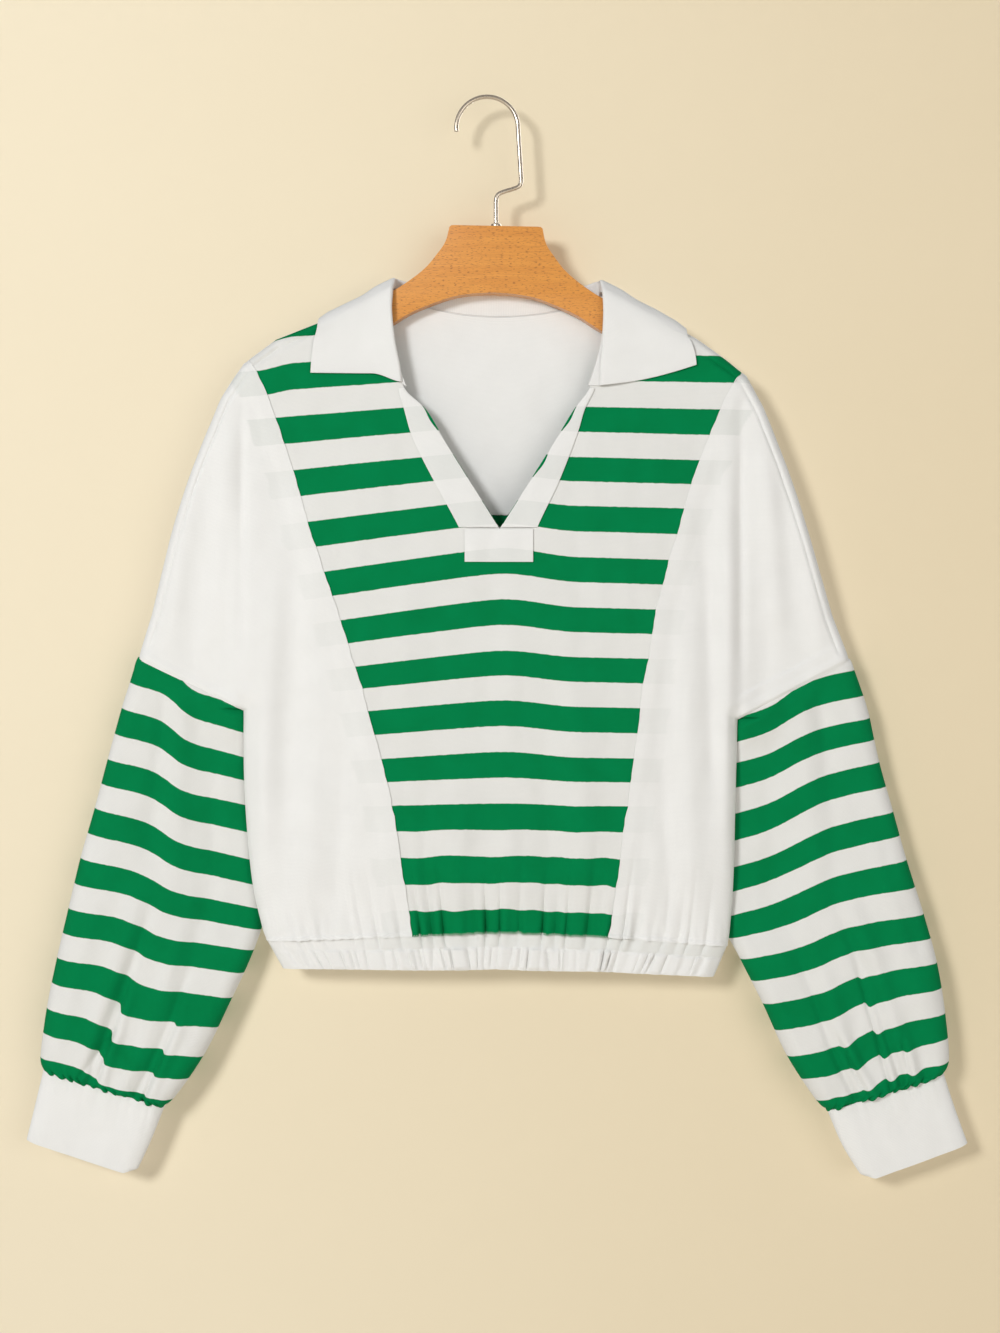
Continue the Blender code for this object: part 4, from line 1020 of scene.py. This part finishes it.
# At each station from the V to the middle behind: fold y, and the way it faces in degrees
COLLAR_TURN = ((-13.1, 0), (-13.2, 0), (-13.2, 0), (-13, 0), (-11.4, 20), (-8, 45), (-4.2, 70), (0, 90),
               (4.2, 110), (8, 135), (10.8, 160), (12.2, 180), (12.4, 180), (12.6, 180), (12.6, 180))
LEFT_COLLAR = (
    # seam's place, fold x, z, outer edge x, z
    (2.06, -76.6, -226.6, -148.3, -219.4), (1.7, -78.3, -213, -147.6, -209),
    (1.25, -81.9, -195, -145.9, -195), (0.68, -84.5, -172, -144.1, -188),
    (0.24, -84.7, -154.5, -143, -181.8), (0.1, -84.5, -148.6, -142.6, -178),
    (0.03, -84.4, -144.6, -142.2, -176), (0, -84.3, -143, -141.9, -174.2),
    (-0.01, -84.2, -142.6, -142, -176), (-0.03, -83.4, -142.2, -142, -178.5),
    (-0.076, -79, -142.8, -141, -184), (-0.174, -69.6, -145.4, -126, -202),
    (-0.339, -55, -150.2, -98, -215), (-0.67, -27.6, -153.6, -50, -221.6),
    (-1, 0, -154.2, 0, -223.4),
)
RIGHT_COLLAR = (
    (2.04, 79.9, -229.8, 156.2, -213.1), (1.7, 80.7, -214, 155.4, -206),
    (1.25, 82.2, -195, 153, -197.4), (0.68, 83.2, -172, 150.6, -192),
    (0.24, 83.1, -156, 149.2, -187), (0.1, 82.9, -150.2, 148.8, -184.8),
    (0.03, 82.8, -146.2, 148.4, -183), (0, 82.7, -144.6, 148, -182.2),
    (-0.01, 82.4, -144.4, 148.2, -183), (-0.03, 81.4, -144.2, 147.6, -186),
    (-0.076, 77.4, -144.6, 146, -190), (-0.15, 69.6, -147, 128, -205),
    (-0.32, 54, -151.8, 98, -216.4), (-0.66, 27, -153.8, 50, -222),
)
COLLAR_SEAM_IN, COLLAR_ROLL, COLLAR_OUT, COLLAR_STANDS_OFF = 1.9, 1.3, 2.25, 2.6
DOUBLED_RIB = 1.35
# Shares of the way across the collar where the stand begins, the fold begins and the fall begins
STAND, FOLD, FALL = 0.05, 0.25, 0.35


def collar_seam(rows, shoulder, place):
    """The collar's seam, just inside the neck edge of the front or of the back."""
    toward_middle = 1 if rows is LEFT_ROWS else -1
    if place >= 0:
        x, z = body_point(rows, "centre", 1, place)
        return Vector((x + toward_middle * COLLAR_SEAM_IN, -half_depth(x, z) if place else 0.0, z))
    x = mix(shoulder[0][0], 0, -place)
    z = back_neck_z(shoulder, x)
    upward = ease(0, 0.3, -place) * pi / 2
    return Vector((x + toward_middle * COLLAR_SEAM_IN * cos(upward), half_depth(x, z),
                   z + COLLAR_SEAM_IN * sin(upward)))


def fall_point(shoulder, fall_top, out_x, out_z, turn, share):
    """A point of the collar's fall, lying on the cloth, or on the round over the shoulder."""
    x = mix(fall_top.x, out_x, share)
    settle = ease(0, 0.45, share)
    if turn in (0, 180):
        z = mix(fall_top.z, out_z, share)
        resting = half_depth(x, z, COLLAR_OUT) * (-1 if turn == 0 else 1)
        return Vector((x, mix(fall_top.y, resting, settle), z))
    lean = radians(turn - 90)

    def rolled(at_x):
        fallen = (SHOULDER_ROUND + COLLAR_OUT) * (1 - cos(lean))
        return along(shoulder, at_x) + COLLAR_OUT - fallen

    z = rolled(x) + (fall_top.z - rolled(fall_top.x)) * (1 - settle)
    z += COLLAR_STANDS_OFF * cos(lean) ** 2 * ease(0.0, 0.3, share) * ease(1.1, 0.85, share)
    return Vector((x, mix(fall_top.y, (fullness(x, out_z) + COLLAR_OUT) * sin(lean), settle), z))


def collar_section(station, columns):
    """Points from the seam up the stand, round the fold and down the fall, at one station."""
    rows, shoulder, fold_y, turn, neck, fold_x, fold_z, out_x, out_z = station
    side, lean = -1 if rows is LEFT_ROWS else 1, radians(turn)
    outward = Vector((side * sin(lean), -cos(lean), 0))
    inward = Vector((fold_x - out_x, 0, fold_z - out_z)).normalized()
    fall_top = Vector((fold_x, fold_y, fold_z)) - inward * COLLAR_ROLL
    stand_top = fall_top - outward * 2 * COLLAR_ROLL
    seam = collar_seam(rows, shoulder, neck)
    rise = stand_top - seam
    clear = outward * rise.dot(outward)
    foot = seam + clear + (rise - clear) * 0.05
    points = []
    for index in range(columns + 1):
        place = index / columns
        if place < STAND:
            point = seam.lerp(foot, place / STAND)
        elif place < FOLD:
            point = foot.lerp(stand_top, (place - STAND) / (FOLD - STAND))
        elif place < FALL:
            angle = pi * (place - FOLD) / (FALL - FOLD)
            bend = inward * sin(angle) - outward * cos(angle)
            point = (stand_top + fall_top) / 2 + bend * COLLAR_ROLL
        else:
            share = (place - FALL) / (1 - FALL)
            point = fall_point(shoulder, fall_top, out_x, out_z, turn, share)
        points.append(tuple(point))
    return points


COLLAR_COLUMNS = 80
stations = [(LEFT_ROWS, LEFT_SHOULDER) + turn + row for turn, row in zip(COLLAR_TURN, LEFT_COLLAR)]
stations += reversed([(RIGHT_ROWS, RIGHT_SHOULDER) + turn + row
                      for turn, row in zip(COLLAR_TURN, RIGHT_COLLAR)])
sections = [collar_section(station, COLLAR_COLUMNS) for station in stations]


def collar_place(across, down):
    column = round(across * COLLAR_COLUMNS)
    x, y, z = through([section[column] for section in sections], down * (len(stations) - 1))
    out = max((across - FALL) / (1 - FALL), 0.0)
    if down < 0.1:
        z += 6.3 * (1 - out) * ease(0.0, 0.32, out) * ease(0.06, 0.0, down)
    elif down > 0.9:
        z -= 2.4 * sin(pi * out) * ease(0.94, 1.0, down)
    lift = ripple(x, 20, z, 28, 0.6) * ease(0.4, 0.6, across)
    facing = -1 if y < 0 else 1
    return x, y + facing * max(lift, -0.2), z, across * 2.6, down * 14, 0.0


collar = laid_cloth("rib_collar", "white rib", "collar", (collar_place, COLLAR_COLUMNS, 170),
                    wall=DOUBLED_RIB)

# -------- neck strips and tab
# Facing strips of the white jersey, folded out along both sides of the V and stitched down, and a
# small rectangle that covers where they meet.

LEFT_STRIP = ((2.12, 4), (2.5, 10), (3, 17), (3.5, 21.5), (4, 25), (4.5, 28.5), (4.97, 31))
RIGHT_STRIP = ((2.12, 3.2), (2.5, 5), (3, 8), (3.5, 12), (4, 16.5), (4.5, 24), (4.97, 28.5))
BARE = ((-257,), (-257, -292))  # where a little of the stripe shows beside the strip
TAB_LEFT, TAB_RIGHT, TAB_TOP, TAB_BOTTOM = -26.5, 27.2, -343.2, -368.9
# How far the strips and the tab stand off the front, and how much its stripes show through them
STRIP_OUT, TAB_OUT, SHOWN_THROUGH = 1.25, 1.45, 0.8


def on_front(x, z, out):
    """y of a layer that lies on the front panel, moved out from it."""
    return -body_depth(x, z, -1) - out


def strip_place(rows, table, turn, across, down):
    row, width = through(table, down * (len(table) - 1))
    x, z = body_point(rows, "centre", 1, row)
    bare = sum(bell(z - bare_z, 8) for bare_z in BARE[turn > 0])
    x += turn * (0.5 + (1 - across) * 2.2 * bare + width * across)
    puff = 0.5 * sin(pi * across) ** 0.5
    return x, on_front(x, z, STRIP_OUT + puff), z, across * width / REPEAT, stripe_place(x, z), SHOWN_THROUGH


for side, rows, table, turn in (("left", LEFT_ROWS, LEFT_STRIP, -1),
                                ("right", RIGHT_ROWS, RIGHT_STRIP, 1)):
    strip = laid_cloth("facing_strip_" + side, "white knit", "neck_strip_" + side,
                       (partial(strip_place, rows, table, turn), 16, 70))


def tab_place(across, down):
    x, z = mix(TAB_LEFT, TAB_RIGHT, across), mix(TAB_TOP, TAB_BOTTOM, down)
    puff = 0.35 * (sin(pi * across) * sin(pi * down)) ** 0.5
    return x, on_front(x, z, TAB_OUT + puff), z, across * 1.35, stripe_place(x, z), SHOWN_THROUGH


tab = laid_cloth("facing_tab", "white knit", "neck_tab", (tab_place, 44, 22))
